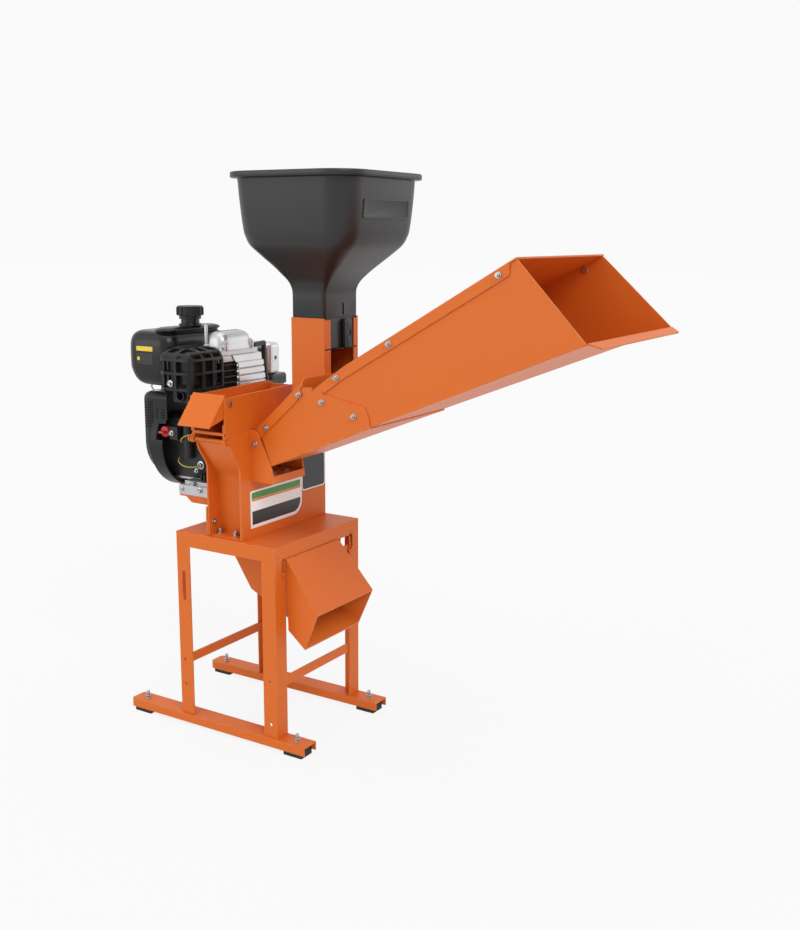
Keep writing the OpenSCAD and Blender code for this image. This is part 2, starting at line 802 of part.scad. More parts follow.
// Cover in two pieces that meet at a seam, each folded down over the walls
module chute_cover() {
    seam = 0.2;
    color(orange) difference() {
        union() {
            cover_piece(knee_x + seam, mouth_top, knee_x + seam, mouth_top - 14, cover_angle);
            cover_piece(cover_low, knee_x - seam, fold_x, knee_x - seam, neck_angle);
        }
        for (s = [-1, 1]) side_holes(s, cover_bolts);
    }
}

module cover_piece(x0, x1, f0, f1, angle) {
    t = slope_t(angle);
    end_r = f1 < x1 ? 10 : 0;
    start = f0 > x0 ? 18 : 0;
    intersection() {
        along_y(-stand_wid, stand_wid) polygon([[x0, cover_z(x0) - t], [x1, cover_z(x1) - t],
            [x1, cover_z(x1)], [x0, cover_z(x0)]]);
        between_sides(x0, x1, -sheet_t);
    }
    for (s = [-1, 1]) side_sheet(s, concat([[f0, cover_z(f0) - t], [f0 + start,
        cover_z(f0 + start) - fold_h]], end_r > 0 ? arc(f1 - end_r, cover_z(f1) - fold_h
        - end_r * 0.1 + end_r * 0.7, end_r, -62, 20, 4) : [[f1, cover_z(f1) - fold_h]],
        [[f1, cover_z(f1) - t]]), 0, sheet_t);
}

module chute_bolts() {
    color(steel) for (s = [-1, 1]) {
        on_side(s) for (b = throat_bolts) translate([flat_x(b.x), b.y, 2 * sheet_t])
            bolt(bolt_r, 2 * sheet_t);
        on_side(s) for (b = concat(joint_bolts, cover_bolts)) translate([flat_x(b.x), b.y,
            sheet_t]) bolt(bolt_r, 2 * sheet_t);
    }
    color(steel) translate([front_out + 16, -cheek_y - sheet_t, housing_top - 30])
        rotate([90, 0, 0]) bolt(bolt_r, sheet_t);
    color(steel) for (y = knife_bolt_y) translate([knife_bolt_x, y, knife_low - sheet_t])
        rotate([180, 0, 0]) bolt(base_bolt_r, 2 * sheet_t + knife_h);
}

// HOPPER

// Ring of points round a rounded rectangle, eight to a corner
function ring(cx, cy, z, hx, hy, corner) = let (r = min(corner, hx - 1, hy - 1)) [for (q = [0:3], i = [0:6])
    let (a = q * 90 + i * 15, sx = q == 0 || q == 3 ? 1 : -1, sy = q < 2 ? 1 : -1)
    [cx + sx * (hx - r) + r * cos(a), cy + sy * (hy - r) + r * sin(a), z]];

// Closed wall through a loop of rings, the last joined back to the first
module ring_wall(rings) {
    n = len(rings[0]);
    m = len(rings);
    polyhedron([for (g = rings, p = g) p], [for (j = [0:m - 1], i = [0:n - 1])
        let (k = (i + 1) % n, b = (j + 1) % m)
        each [[j * n + i, b * n + i, b * n + k], [j * n + i, b * n + k, j * n + k]]], 10);
}

neck_hx = channel_d / 2;
neck_hy = channel_w / 2;
neck_x = channel_back + neck_hx;

// Heights above the seat and half widths of the bowl, from the neck to the rim
bowl_top = 142;
bowl_corner = 36;
bowl = [[61, 50, 68, 14], [90, 62, 78, 24], [120, 87, 96, 34], [153, 118, 121, 42],
    [181, 133, 133, 44], [292, bowl_top, bowl_top, bowl_corner]];
neck_rise = 46;
module hopper() {
    t = hopper_t;
    in_hx = neck_hx - sheet_t - run_gap - 0.2;
    in_hy = neck_hy - sheet_t - run_gap - 0.2;
    k = hopper_h / 309;
    outer = concat([ring(neck_x, channel_y, seat_z - neck_drop, in_hx, in_hy, 8),
        ring(neck_x, channel_y, seat_z, in_hx, in_hy, 8),
        ring(neck_x, channel_y, seat_z, neck_hx, neck_hy, 9),
        ring(neck_x, channel_y, seat_z + neck_rise * k, neck_hx, neck_hy, 10)],
        [for (b = bowl) ring(neck_x, channel_y, seat_z + b[0] * k, b[1], b[2], b[3])],
        [ring(neck_x, channel_y, seat_z + hopper_h - 13, rim_half, rim_half, 25),
        ring(neck_x, channel_y, seat_z + hopper_h, rim_half, rim_half, 25)]);
    inner = concat([ring(neck_x, channel_y, seat_z + hopper_h, bowl_top - t, bowl_top - t,
            bowl_corner - t)],
        [for (i = [len(bowl) - 1:-1:0]) let (b = bowl[i])
            ring(neck_x, channel_y, seat_z + b[0] * k + 1, b[1] - t, b[2] - t, b[3] - t)],
        [ring(neck_x, channel_y, seat_z + neck_rise * k - 2, in_hx - t, in_hy - t, 5),
        ring(neck_x, channel_y, seat_z - neck_drop, in_hx - t, in_hy - t, 5)]);
    color(black) difference() {
        ring_wall(concat(outer, inner));
        box([neck_x + neck_hx - 9, 20, seat_z + 5], [neck_x + neck_hx + 1, 26, seat_z + 31]);
    }
}

rail_z = seat_z - neck_drop - 6;
gate_t = 2.5;
gate_z = rail_z + 3 + run_gap;
lip_near = 25;
lip_far = 16;

// Upright open-fronted channel that carries the hopper and guides its gate
module hopper_channel() {
    x0 = channel_back;
    x1 = channel_front;
    y0 = channel_y - neck_hy;
    y1 = channel_y + neck_hy;
    t = sheet_t;
    color(orange) difference() {
        union() {
            box([x0, y0, housing_top], [x0 + t, y1, seat_z]);
            box([x0, y0, housing_top], [x1, y0 + t, seat_z]);
            box([x0, y1 - t, housing_top], [x1, y1, seat_z]);
            box([x1 - t, y0, housing_top], [x1, y0 + lip_near, seat_z - 4]);
            box([x1 - t, y1 - lip_far, housing_top], [x1, y1, seat_z - 4]);
            for (y = [y0 + t, y1 - t - 9]) box([x0 + t, y, rail_z], [x1 - t, y + 9, rail_z + 3]);
        }
        along_y(-stand_wid, stand_wid) polygon([[x0 - 10, housing_top - 100], [x1 + 10, housing_top - 100],
            [x1 + 10, throat_top(x1 + 10) + slope_t(throat_angle)],
            [x0 - 10, throat_top(x0 - 10) + slope_t(throat_angle)]]);
        box([x1 - t - 1, y0 + t, gate_z - run_gap], [x1 + 1, y1 - t, gate_z + gate_t + run_gap]);
    }
}

module hopper_gate() {
    x0 = channel_back + sheet_t + run_gap;
    y0 = channel_y - neck_hy + sheet_t + run_gap;
    y1 = channel_y + neck_hy - sheet_t - run_gap;
    tab_x = channel_front + run_gap;
    color(black) difference() {
        union() {
            box([x0, y0, gate_z], [tab_x + 3, y1, gate_z + gate_t]);
            box([tab_x, 28, gate_z], [tab_x + 3, 54, gate_z + 66]);
        }
        translate([0, 43, gate_z + 33]) rod_x(tab_x - 1, tab_x + 4, 5);
    }
}

// ENGINE

// Folded steel bracket that carries the engine behind the housing
module engine_plate() {
    x0 = back_out - plate_len;
    z = engine_z;
    t = plate_t;
    color(orange) difference() {
        union() {
            box([x0, -plate_half, z - t], [back_out, plate_half, z]);
            box([back_out - t, -housing_near - 2, stand_top], [back_out, housing_near, z - t]);
            for (s = [-1, 1]) along_y(s > 0 ? plate_half - t : -plate_half,
                s > 0 ? plate_half : -plate_half + t) polygon([[back_out - t, z - t],
                [x0 + 20, z - t], [back_out - t - 20, stand_top], [back_out - t, stand_top]]);
        }
        for (y = [-bracket_y, bracket_y]) translate([0, y, bracket_z])
            rod_x(back_out - 20, back_out + 20, bolt_r + 0.2);
    }
}

bracket_y = housing_near - 15;
bracket_z = stand_top + 32;
case_x0 = back_out - plate_len - 1;
case_x1 = back_out - 23;
boss_r = 42;
shroud_x0 = case_x0 - 82;
shroud_x1 = case_x0 - 63;

// Half width of the crankcase above its widest line
function case_half(z) = 76 - 6 * (z - crank_z + 40) / 102;

// Crankcase on its foot, with the bearing boss that meets the housing
module crankcase() {
    color(alloy) difference() {
        union() {
            box([case_x0, -plate_half, engine_z], [case_x1, plate_half, engine_z + 23]);
            box([case_x0 + 8, -plate_half + 12, engine_z + 23],
                [case_x1 - 8, plate_half - 12, engine_z + 31]);
            box([oil_x + 18, -100, oil_z - 16], [oil_x + 41, -60, oil_z + 14]);
            translate([oil_x + 59, -82, oil_z - 59]) cylinder(r = 12, h = 78);
            for (i = [0:3]) box([case_x0 + 52 + 9 * i, -88, engine_z + 34],
                [case_x0 + 56 + 9 * i, -60, engine_z + 50]);
            along_x(shroud_x1, case_x1) polygon([[-60, engine_z + 26], [60, engine_z + 26],
                [76, crank_z - 40], [70, crank_z + 62], [50, crank_z + 75], [-50, crank_z + 75],
                [-70, crank_z + 62], [-76, crank_z - 40]]);
            translate([0, 0, crank_z]) rod_x(case_x1, case_x1 + 4, 72);
            translate([0, 0, crank_z]) rod_x(case_x1, back_out, boss_r);
            for (a = [20:45:380]) translate([0, 62 * cos(a), crank_z + 62 * sin(a)])
                rod_x(case_x1, case_x1 + 9, 5);
        }
        translate([0, 0, crank_z]) rod_x(shroud_x1 - 1, back_out + 1, shaft_r + fit_gap);
    }
}

cyl_z = crank_z + 75;
cyl_h = 125;
cyl_x1 = case_x1 - 15;
fin_half = 50;

// Finned barrel on the crankcase
module cylinder_fins() {
    pitch = cyl_h / fin_count;
    core_x = (case_x0 + cyl_x1) / 2;
    color(alloy) union() {
        translate([core_x, 0, cyl_z]) cylinder(r = 38, h = cyl_h);
        for (i = [0:fin_count - 1]) translate([0, 0, cyl_z + pitch * (i + 0.5)])
            linear_extrude(3) fin_plan();
    }
}

module fin_plan() {
    r = 10;
    polygon(concat(arc(cyl_x1 - r, fin_half - r, r, 0, 90, 4),
        arc(case_x0 + r, fin_half - r, r, 90, 180, 4),
        arc(case_x0 + r, -fin_half + r, r, 180, 270, 4),
        arc(cyl_x1 - r, -fin_half + r, r, 270, 360, 4)));
}

shield_low = cyl_z + 63;
shield_high = cyl_z + cyl_h + 15;
// Ribbed sheet that stands before the cylinder, cut aslant at its sides
module cylinder_shield() {
    t = 2;
    ribs = 4;
    pitch = (shield_high - shield_low - 12) / ribs;
    wave = [for (i = [0:ribs - 1]) let (z = shield_low + i * pitch) each
        [[cyl_x1 + 5, z], [cyl_x1 + 5, z + pitch * 0.55], [cyl_x1, z + pitch * 0.7],
        [cyl_x1, z + pitch * 0.9]]];
    color(alloy) intersection() {
        along_y(-stand_wid, stand_wid) sheet(concat(wave, [[cyl_x1, shield_high]]), -t);
        along_x(cyl_x1 - 10, cyl_x1 + 20) polygon([[5, shield_low - 1], [102, shield_low - 1],
            [91, shield_high + 1], [-16, shield_high + 1], [1, shield_high - 22]]);
    }
}

head_z = cyl_z + cyl_h;
head_near = -62;
head_far = 89;

// Cylinder head with its flange, valve cover and one tall stud
module head_cover() {
    top = head_z + 20;
    mid = [(case_x0 + cyl_x1) / 2 - 2, -14];
    color(alloy) box([case_x0, head_near, head_z], [cyl_x1 - 1, head_far, top]);
    color(alloy) box([case_x0 - 2, head_near, top], [cyl_x1 - 1, head_far, top + 7]);
    color(alloy) ring_stack([[top + 7, 0], [top + 26, 2], [top + 42, 7], [top + 50, 15],
        [top + 53, 28]], mid, [40, 46], 20);
    for (x = [mid.x - 30, mid.x + 30], y = [mid.y - 34, mid.y + 34])
        color(alloy) translate([x, y, top]) cylinder(r = 9, h = 34);
    color(alloy) translate([mid.x + 5, mid.y - 38, top]) cylinder(r = 4, h = 67);
}

// Solid of rounded rectangles, each [height, inset] and how far its -X side moves in
module ring_stack(levels, mid, half, r) {
    skin([for (l = levels) ring(mid.x + (len(l) > 2 ? l[2] / 2 : 0), mid.y, l[0],
        half.x - l[1] - (len(l) > 2 ? l[2] / 2 : 0), half.y - l[1], r)]);
}

// Closed solid through a stack of rings
module skin(rings) {
    n = len(rings[0]);
    m = len(rings);
    polyhedron([for (g = rings, p = g) p], concat([[for (i = [0:n - 1]) i]],
        [for (j = [0:m - 2], i = [0:n - 1]) let (k = (i + 1) % n)
            each [[j * n + i, (j + 1) * n + i, (j + 1) * n + k], [j * n + i, (j + 1) * n + k,
            j * n + k]]], [[for (i = [n - 1:-1:0]) (m - 1) * n + i]]), 10);
}

muff_lo = [case_x0 + 19, head_near - 104, head_z - 57];
muff_hi = [case_x1 - 7, head_near, head_z + 33];
outlet = [case_x0 + 66, head_z - 66];

// Muffler with its outlet in a bracket under the near side
module muffler() {
    y = muff_lo.y + 8;
    color(black) difference() {
        union() {
            soft_box(muff_lo, muff_hi, 24);
            box([outlet.x - 24, y, outlet.y - 15], [outlet.x + 22, y + 3, muff_lo.z + 25]);
            translate([outlet.x, 0, outlet.y]) rod_y(y - 5, y + 20, 12);
        }
        translate([outlet.x, 0, outlet.y]) rod_y(y - 6, y + 16, 9);
    }
}

guard_bar = 4;
guard_off = 4;
guard_top = muff_hi.z + run_gap;

// Round-shouldered block about the muffler, grown by g
module guard_block(g) {
    lo = [muff_lo.x - guard_off - g, muff_lo.y - guard_off - g];
    hi = [muff_hi.x + guard_off + g, muff_hi.y - guard_off + (g > 0 ? 0 : 10)];
    low = muff_lo.z - (g > 0 ? 0 : 10);
    top = guard_top + g;
    r = 26 + g;
    c = 18 + g;
    intersection() {
        along_y(lo.y, hi.y) polygon(concat([[lo.x, low], [hi.x, low]],
            arc(hi.x - r, top - r, r, 0, 90, 6), arc(lo.x + r, top - r, r, 90, 180, 6)));
        along_x(lo.x, hi.x) polygon(concat([[lo.y, low], [hi.y, low], [hi.y, top]],
            arc(lo.y + r, top - r, r, 90, 180, 6)));
        linear_extrude(3 * stand_top) polygon(concat([[hi.x, hi.y], [lo.x, hi.y]],
            arc(lo.x + c, lo.y + c, c, 180, 270, 5), arc(hi.x - c, lo.y + c, c, 270, 360, 5)));
    }
}

// Heat guard: a cage of bars that run round the muffler and over its top
module muffler_guard() {
    b = guard_bar;
    far = [2 * stand_top, stand_top, 3 * stand_top];
    color(black) intersection() {
        difference() {
            guard_block(b);
            guard_block(0);
        }
        union() {
            for (z = [muff_lo.z + 5, muff_lo.z + 41, muff_lo.z + 71])
                box([-far.x, -far.y, z], [far.x, far.y, z + b]);
            for (x = [muff_lo.x + 9, muff_lo.x + 44, muff_lo.x + 79])
                box([x, -far.y, 0], [x + b, far.y, far.z]);
            for (y = [muff_lo.y - 2, muff_lo.y + 31, muff_lo.y + 64, muff_lo.y + 95])
                box([-far.x, y, 0], [far.x, y + b, far.z]);
        }
    }
}

tank_z = crank_z + 130;
tank_x1 = case_x0 - 5;
tank_x0 = tank_x1 - tank_len;
tank_y0 = -tank_wid / 2 - 12;
cap_x = tank_x1 - 32;
cap_y = -8;
cap_z = tank_z + tank_h + 25;
neck_r = 22;
module fuel_tank() {
    z1 = tank_z + tank_h;
    mid_y = tank_y0 + tank_wid / 2;
    color(black) union() {
        ring_stack([[tank_z, 16, 48], [tank_z + 5, 7, 44], [tank_z + 21, 1, 38],
            [tank_z + 52, 0, 2], [z1 - 34, 0], [z1 - 16, 5], [z1 - 5, 14], [z1, 26]],
            [(tank_x0 + tank_x1) / 2, mid_y], [tank_len / 2, tank_wid / 2], 30);
        ring_stack([[z1 - 14, 0], [z1 + 4, 2], [z1 + 9, 8]], [cap_x, mid_y], [27, 98], 20);
        translate([cap_x, cap_y, z1]) cylinder(r = neck_r, h = 30);
    }
}

module fuel_cap() {
    color(black) translate([cap_x, cap_y, cap_z]) difference() {
        union() {
            cylinder(r = 26, h = 8);
            translate([0, 0, 8]) cylinder(r = 30, h = 22);
            for (a = [0:30:330]) rotate(a) box([28, -2.5, 9], [32.5, 2.5, 27]);
        }
        translate([0, 0, -1]) cylinder(r = neck_r + run_gap, h = 6.2);
    }
}

recoil_r = 92;
recoil_top = 125;

// Upright profile of the starter cover: flat sides over a round bottom
function starter_ring(inset) = let (w = recoil_r - inset, r = 16, t = recoil_top - inset)
    concat(arc(0, crank_z, w, 180, 360, 18), arc(w - r, crank_z + t - r, r, 0, 90, 4),
    arc(-w + r, crank_z + t - r, r, 90, 180, 4));

// Rows of square holes through both flat sides
module side_grid(x0, columns, z0, rows) {
    for (i = [0:columns - 1], j = [0:rows - 1]) box([x0 + 6 * i, -recoil_r - 1, z0 + 6.5 * j],
        [x0 + 6 * i + 3.5, recoil_r + 1, z0 + 6.5 * j + 3.5]);
}

shroud_t = 4;
// Fan housing: a drum round the flywheel whose rim runs on over the crankcase
module fan_shroud() {
    rim = shroud_x1 + 20;
    front = shroud_x0 + shroud_t;
    color(black) difference() {
        union() {
            translate([0, 0, crank_z]) rod_x(shroud_x0, rim, shroud_r);
            along_x(shroud_x0, rim) polygon(starter_ring(0));
            along_x(shroud_x0 + 1, shroud_x1) translate([-60, crank_z]) square([120, tank_z - crank_z]);
        }
        translate([0, 0, crank_z]) rod_x(front, shroud_x1 - shroud_t, shroud_r - shroud_t);
        translate([0, 0, crank_z]) rod_x(shroud_x1, rim + 1, shroud_r - shroud_t);
        along_x(shroud_x0 - 1, shroud_x1 - shroud_t) polygon(starter_ring(shroud_t));
        along_x(shroud_x1, rim + 1) polygon(starter_ring(shroud_t));
        translate([0, 0, crank_z]) rod_x(shroud_x0, rim, shaft_r + 4);
        box([shroud_x1, -shroud_r - 1, oil_z - 19], [rim + 1, -60, oil_z + 19]);
        side_grid(shroud_x0 + 6, 1, crank_z + 62, 4);
        side_grid(shroud_x1 + 3, 2, crank_z + 62, 4);
    }
}

// Perforated starter cover with a rounded outer edge
module recoil_cover() {
    t = 3;
    x1 = shroud_x0;
    levels = [[recoil_x, 28], [recoil_x + 5, 13], [recoil_x + 14, 4], [recoil_x + 28, 0]];
    color(black) difference() {
        rotate([90, 0, 90]) skin([for (l = concat(levels, [[x1, 0]]))
            [for (p = starter_ring(l[1])) [p.x, p.y, l[0]]]]);
        rotate([90, 0, 90]) skin([for (l = concat(levels, [[x1 - t + 1, 0]]))
            [for (p = starter_ring(l[1] + t)) [p.x, p.y, l[0] + t]]]);
        side_grid(recoil_x + 17, 5, crank_z + 38, 10);
        for (row = [0:3], i = [0:5 + 3 * row]) translate([0, 0, crank_z])
            rotate([360 * i / (6 + 3 * row), 0, 0]) translate([0, 14 + 12 * row, 0])
                rod_x(recoil_x - 1, recoil_x + 4, 2.5);
    }
}

module recoil_handle() {
    z = crank_z + 40;
    color(black) translate([handle_x, 0, 0]) {
        translate([7, 20, z]) union() {
            rod_y(-24, 24, 7);
            rod_x(0, recoil_x - handle_x - 7 - fit_gap, 4);
        }
    }
}

filter_x = [case_x0 + 4, cyl_x1 - 4];
// Air filter over its black cup, with the intake elbow and the breather hose
module air_filter() {
    y0 = head_far + 41;
    y1 = head_far + 89;
    z = head_z - 46;
    hose = [[cyl_x1 - 7, head_far - 14, head_z + 33.3], [cyl_x1 - 7, head_far + 24, head_z + 35],
        [cyl_x1 - 7, head_far + 24, head_z - 12], [cyl_x1 - 7, head_far + 33, head_z - 62],
        [cyl_x1 - 7, head_far + 48, head_z - 63]];
    color(black) ring_stack([[z - 28, 5], [z - 24, 0], [z - 6, 0], [z - run_gap, 2]],
        [(filter_x[0] + filter_x[1]) / 2, head_far + 80], [43.5, 37], 14);
    color(black) for (i = [0:3]) hull() for (p = [hose[i], hose[i + 1]])
        translate(p) sphere(r = 6, $fn = 12);
    color(alloy) difference() {
        union() {
            soft_box([filter_x[0], y0, z], [filter_x[1], y1, head_z + 33], 14);
            box([filter_x[0] + 20, head_far + run_gap, head_z + 2],
                [filter_x[1] - 20, y0 + 14, head_z + 19]);
        }
        for (e = [head_z - 31, head_z - 14]) box([filter_x[1] - 2, y0 - 1, e],
            [filter_x[1] + 1, y1 + 1, e + 3]);
        translate([0, y0 + 25, head_z - 5]) rod_x(filter_x[1] - 12, filter_x[1] + 1, 5);
    }
}

oil_x = shroud_x1 + 17;
oil_z = crank_z + 33;
oil_neck = 9;
oil_y = -case_half(oil_z - oil_neck);
// Red filler plug low on the crankcase
module oil_cap() {
    color("#c8352f") translate([oil_x, 0, oil_z]) union() {
        rod_y(oil_y - 30, oil_y - 12, 15);
        rod_y(oil_y - 12, oil_y - run_gap, oil_neck);
        box([-3, oil_y - 42, -14], [3, oil_y - 26, 14]);
    }
}

lever_x = case_x0 + 40;
module throttle_lever() {
    hub = 9;
    arm = 60;
    color(steel) translate([lever_x, case_half(crank_z + 10 - hub) + run_gap, crank_z + 10])
        rotate([0, -20, 0]) union() {
        rod_y(0, 5, hub);
        box([-4, 1, 0], [4, 4, arm]);
        translate([0, 0, arm]) rod_y(0.5, 4.5, 8);
    }
}

// Two leads that bow out from the crankcase's near side
module engine_wires() {
    wire_r = 1.6;
    function side(z) = -case_half(z) - run_gap - wire_r;
    x = case_x0;
    z = crank_z;
    leads = [[[x - 5, side(z + 8), z + 8], [x - 1, -92, z + 14], [x + 7, -98, z + 22],
        [x + 17, -98, z + 28], [x + 31, -90, z + 33], [x + 35, side(z + 34), z + 34]],
        [[x - 21, side(z - 30), z - 30], [x - 15, -88, z - 36], [x + 1, -94, z - 43],
        [x + 23, -94, z - 46], [x + 43, -88, z - 43], [x + 48, side(z - 40), z - 40]]];
    color("#c9c832") for (w = leads) union() for (i = [0:len(w) - 2])
        hull() for (p = [w[i], w[i + 1]]) translate(p) sphere(r = wire_r, $fn = 8);
}

// HOOD

wall_y0 = rod_y - 4;
lug_t = plate_t;
module hood_walls() {
    top = hood_z + hood_h;
    profile = [[wall_y0, hood_z], [wall_y0, top], [hood_far - 20, top + 6], [hood_far, top],
        [hood_far + 70, hood_z + 22], [hood_far + 70, hood_z]];
    color(orange) difference() {
        union() {
            along_x(front_in, front_out) polygon(profile);
            along_x(back_out, back_in) polygon(profile);
            for (side = [0, 1]) hood_lug(side);
            along_x(back_in, front_in) polygon([[wall_y0, housing_top - 4], [wall_y0 + 6,
                housing_top - 4], [wall_y0 + 6, housing_top + 2], [wall_y0, housing_top + 2]]);
        }
        translate([0, rod_y, rod_z]) rod_x(back_out - 1, front_out + 1, rod_r + fit_gap);
        translate([0, flap_y, flap_z]) rod_x(back_out - 1, front_out + 1, bolt_r + fit_gap);
    }
}

// Lug inside a housing plate, stepped so that it clears the plate
module hood_lug(side) {
    x1 = front_in - run_gap;
    x0 = back_in + run_gap;
    y1 = rod_y + 9;
    eye = [[wall_y0, rod_z], [wall_y0, hood_z + 20], [y1, hood_z + 20], [y1, rod_z]];
    along_x(side == 0 ? x1 - lug_t : x0, side == 0 ? x1 : x0 + lug_t) union() {
        polygon(eye);
        translate([rod_y, rod_z]) circle(r = 8);
    }
    along_x(side == 0 ? x1 - lug_t : back_in, side == 0 ? front_in : x0 + lug_t)
        polygon([[wall_y0, hood_z], [wall_y0, hood_z + 20], [y1, hood_z + 20], [y1, hood_z]]);
}

// Screws through the hood walls on which the flap swings
module flap_screws() {
    color(steel) for (side = [0, 1]) translate([side == 0 ? front_out : back_out, flap_y, flap_z])
        rotate([0, side == 0 ? 90 : -90, 0]) {
            translate([0, 0, -plate_t - 8]) cylinder(r = bolt_r, h = plate_t + 8, $fn = 24);
            cylinder(r = bolt_r * 2.1, h = bolt_r * 1.2, $fn = 24);
        }
}

roof_z = drum_z + drum_r;
// Roof over the drum, running flat along the top of the discharge duct
module hood_roof() {
    a0 = asin((hood_z - drum_z) / drum_r);
    path = concat(arc(0, drum_z, drum_r, a0, 90, 8), [[flap_y + 22, roof_z]]);
    color(orange) along_x(back_in, front_in) sheet(path, -sheet_t);
    color(orange) along_x(back_in, front_in) polygon([[hood_far - 25, roof_z - 14],
        [hood_far - 22, roof_z - 14], [hood_far, hood_z + hood_h - 2], [hood_far - 3,
        hood_z + hood_h - 2]]);
}

// Deflector that swings on two screws inside the hood walls
module deflector_flap() {
    x0 = back_in + run_gap;
    x1 = front_in - run_gap;
    top = [flap_y - 10, flap_z + 20];
    low = top - flap_len * [sin(flap_lean), cos(flap_lean)];
    color(orange) difference() {
        union() {
            along_x(x0, x1) sheet([low, top], -sheet_t);
            for (x = [x0, x1 - sheet_t]) along_x(x, x + sheet_t) union() {
                polygon([top, low, [flap_y - 18, flap_z - 32], [flap_y + 6, flap_z - 4],
                    [flap_y + 6, flap_z + 6]]);
                translate([flap_y, flap_z]) circle(r = 8);
            }
        }
        translate([0, flap_y, flap_z]) rod_x(x0 - 1, x1 + 1, bolt_r + fit_gap);
    }
}

// ROTOR

knife_face = front_in - 3;
disc_x1 = knife_face - knife_t;
disc_x0 = disc_x1 - disc_t;
back_disc_x = back_in + 6;
back_disc_t = 5;
back_disc_r = disc_r - 15;
knife_in = 35;
knife_screw = [50, 85];

// Crankshaft through the engine with its flywheel
module crankshaft() {
    color(steel) translate([0, 0, crank_z]) {
        rod_x(shroud_x0 - 12, knife_face, shaft_r);
        difference() {
            union() {
                rod_x(shroud_x0 + shroud_t + 2, shroud_x1 - shroud_t - 1, 90);
                for (a = [0:30:330]) rotate([a, 0, 0]) box([shroud_x0 - 16, 50, -1.5],
                    [shroud_x0 + shroud_t + 3, 82, 1.5]);
            }
            rod_x(shroud_x0, shroud_x1, shaft_r + fit_gap);
        }
    }
}

// Knife disc and back disc on one hub, with four welded paddles
module rotor_disc() {
    color(orange) translate([0, 0, crank_z]) difference() {
        union() {
            rod_x(disc_x0, disc_x1, disc_r);
            rod_x(back_disc_x, disc_x0, hub_r);
            rod_x(back_disc_x, back_disc_x + back_disc_t, back_disc_r);
            for (a = [0:90:270]) rotate([a, 0, 0]) box([back_disc_x, 80, -2],
                [disc_x0, 112, 2]);
            for (a = [0:90:270]) rotate([a, 0, 0]) box([back_disc_x, 80, -2],
                [back_disc_x + back_disc_t, 86, 2]);
        }
        rod_x(back_in, front_in, shaft_r + fit_gap);
        for (a = [45:90:315]) rotate([a, 0, 0]) translate([0, hammer_orbit, 0])
            rod_x(back_in, front_in, pin_r + fit_gap);
        for (a = [0, 180]) rotate([a, 0, 0]) box([disc_x0 - 1, knife_in, 21],
            [disc_x1 + 1, disc_r - 12, 33]);
        for (a = [0, 180], r = knife_screw) rotate([a, 0, 0]) translate([0, r, 10])
            rod_x(disc_x0 - 1, disc_x1 + 1, base_bolt_r + 0.2);
    }
}

// Two bevelled knives screwed to the face of the disc
module knives() {
    color(steel) translate([0, 0, crank_z]) for (a = [0, 180]) rotate([a, 0, 0]) {
        difference() {
            translate([0, knife_in, 0]) rotate([-90, 0, 0]) linear_extrude(disc_r - knife_in)
                polygon([[disc_x1, 10], [disc_x1, -20], [knife_face, -20], [knife_face - 1, 0],
                [disc_x1 + 2, 10]]);
            for (r = knife_screw) translate([0, r, 10]) rod_x(disc_x1 - 1, knife_face + 1,
                base_bolt_r + fit_gap);
        }
        for (r = knife_screw) translate([0, r, 10]) {
            rod_x(disc_x0 - 5, knife_face - 2, base_bolt_r);
            rod_x(disc_x0 - 5, disc_x0, base_bolt_r * 1.8);
        }
    }
}

module hammer_pins() {
    color(steel) translate([0, 0, crank_z]) for (a = [45:90:315]) rotate([a, 0, 0])
        translate([0, hammer_orbit, 0]) {
            rod_x(back_disc_x - 3, disc_x1, pin_r);
            rod_x(back_disc_x - 4, back_disc_x - 0.3, pin_r + 2);
        }
}

hammer_x = (back_disc_x + back_disc_t + disc_x0) / 2;
// A hammer hanging straight down from its pin
module hammer(a) {
    y = hammer_orbit * cos(a);
    z = crank_z + hammer_orbit * sin(a);
    w = 10;
    color(steel) along_x(hammer_x - hammer_t / 2, hammer_x + hammer_t / 2) difference() {
        union() {
            translate([y, z]) circle(r = w);
            translate([y - w, z - hammer_len]) square([2 * w, hammer_len]);
        }
        translate([y, z]) circle(r = pin_r + fit_gap);
    }
}

module hammer_a() {
    hammer(45);
}

module hammer_b() {
    hammer(135);
}

module hammer_c() {
    hammer(225);
}

module hammer_d() {
    hammer(315);
}

placed() leg_engine_near();
placed() leg_engine_far();
placed() leg_chute_near();
placed() leg_chute_far();
placed() top_rails();
placed() deck_plate();
placed() braces();
placed() foot_bars();
placed() foot_pads();
placed() foot_studs();
placed() grain_funnel();
placed() lower_spout();
placed() housing_front_plate();
placed() housing_back_plate();
placed() wrapper_near();
placed() wrapper_far();
placed() grain_screen();
placed() base_bolts();
placed() hinge_rod();
placed() inlet_frame();
placed() counter_knife();
placed() throat_floor();
placed() throat_sides();
placed() throat_cover();
placed() chute_near_wall();
placed() chute_far_wall();
placed() chute_floor();
placed() chute_cover();
placed() chute_bolts();
placed() hopper();
placed() hopper_channel();
placed() hopper_gate();
placed() engine_plate();
placed() crankcase();
placed() cylinder_fins();
placed() cylinder_shield();
placed() head_cover();
placed() muffler();
placed() muffler_guard();
placed() fuel_tank();
placed() fuel_cap();
placed() fan_shroud();
placed() recoil_cover();
placed() recoil_handle();
placed() air_filter();
placed() oil_cap();
placed() throttle_lever();
placed() engine_wires();
placed() hood_walls();
placed() hood_roof();
placed() flap_screws();
placed() deflector_flap();
placed() crankshaft();
placed() rotor_disc();
placed() knives();
placed() hammer_pins();
placed() hammer_a();
placed() hammer_b();
placed() hammer_c();
placed() hammer_d();
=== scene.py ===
import json
import math

import bpy
from mathutils import Matrix, Vector


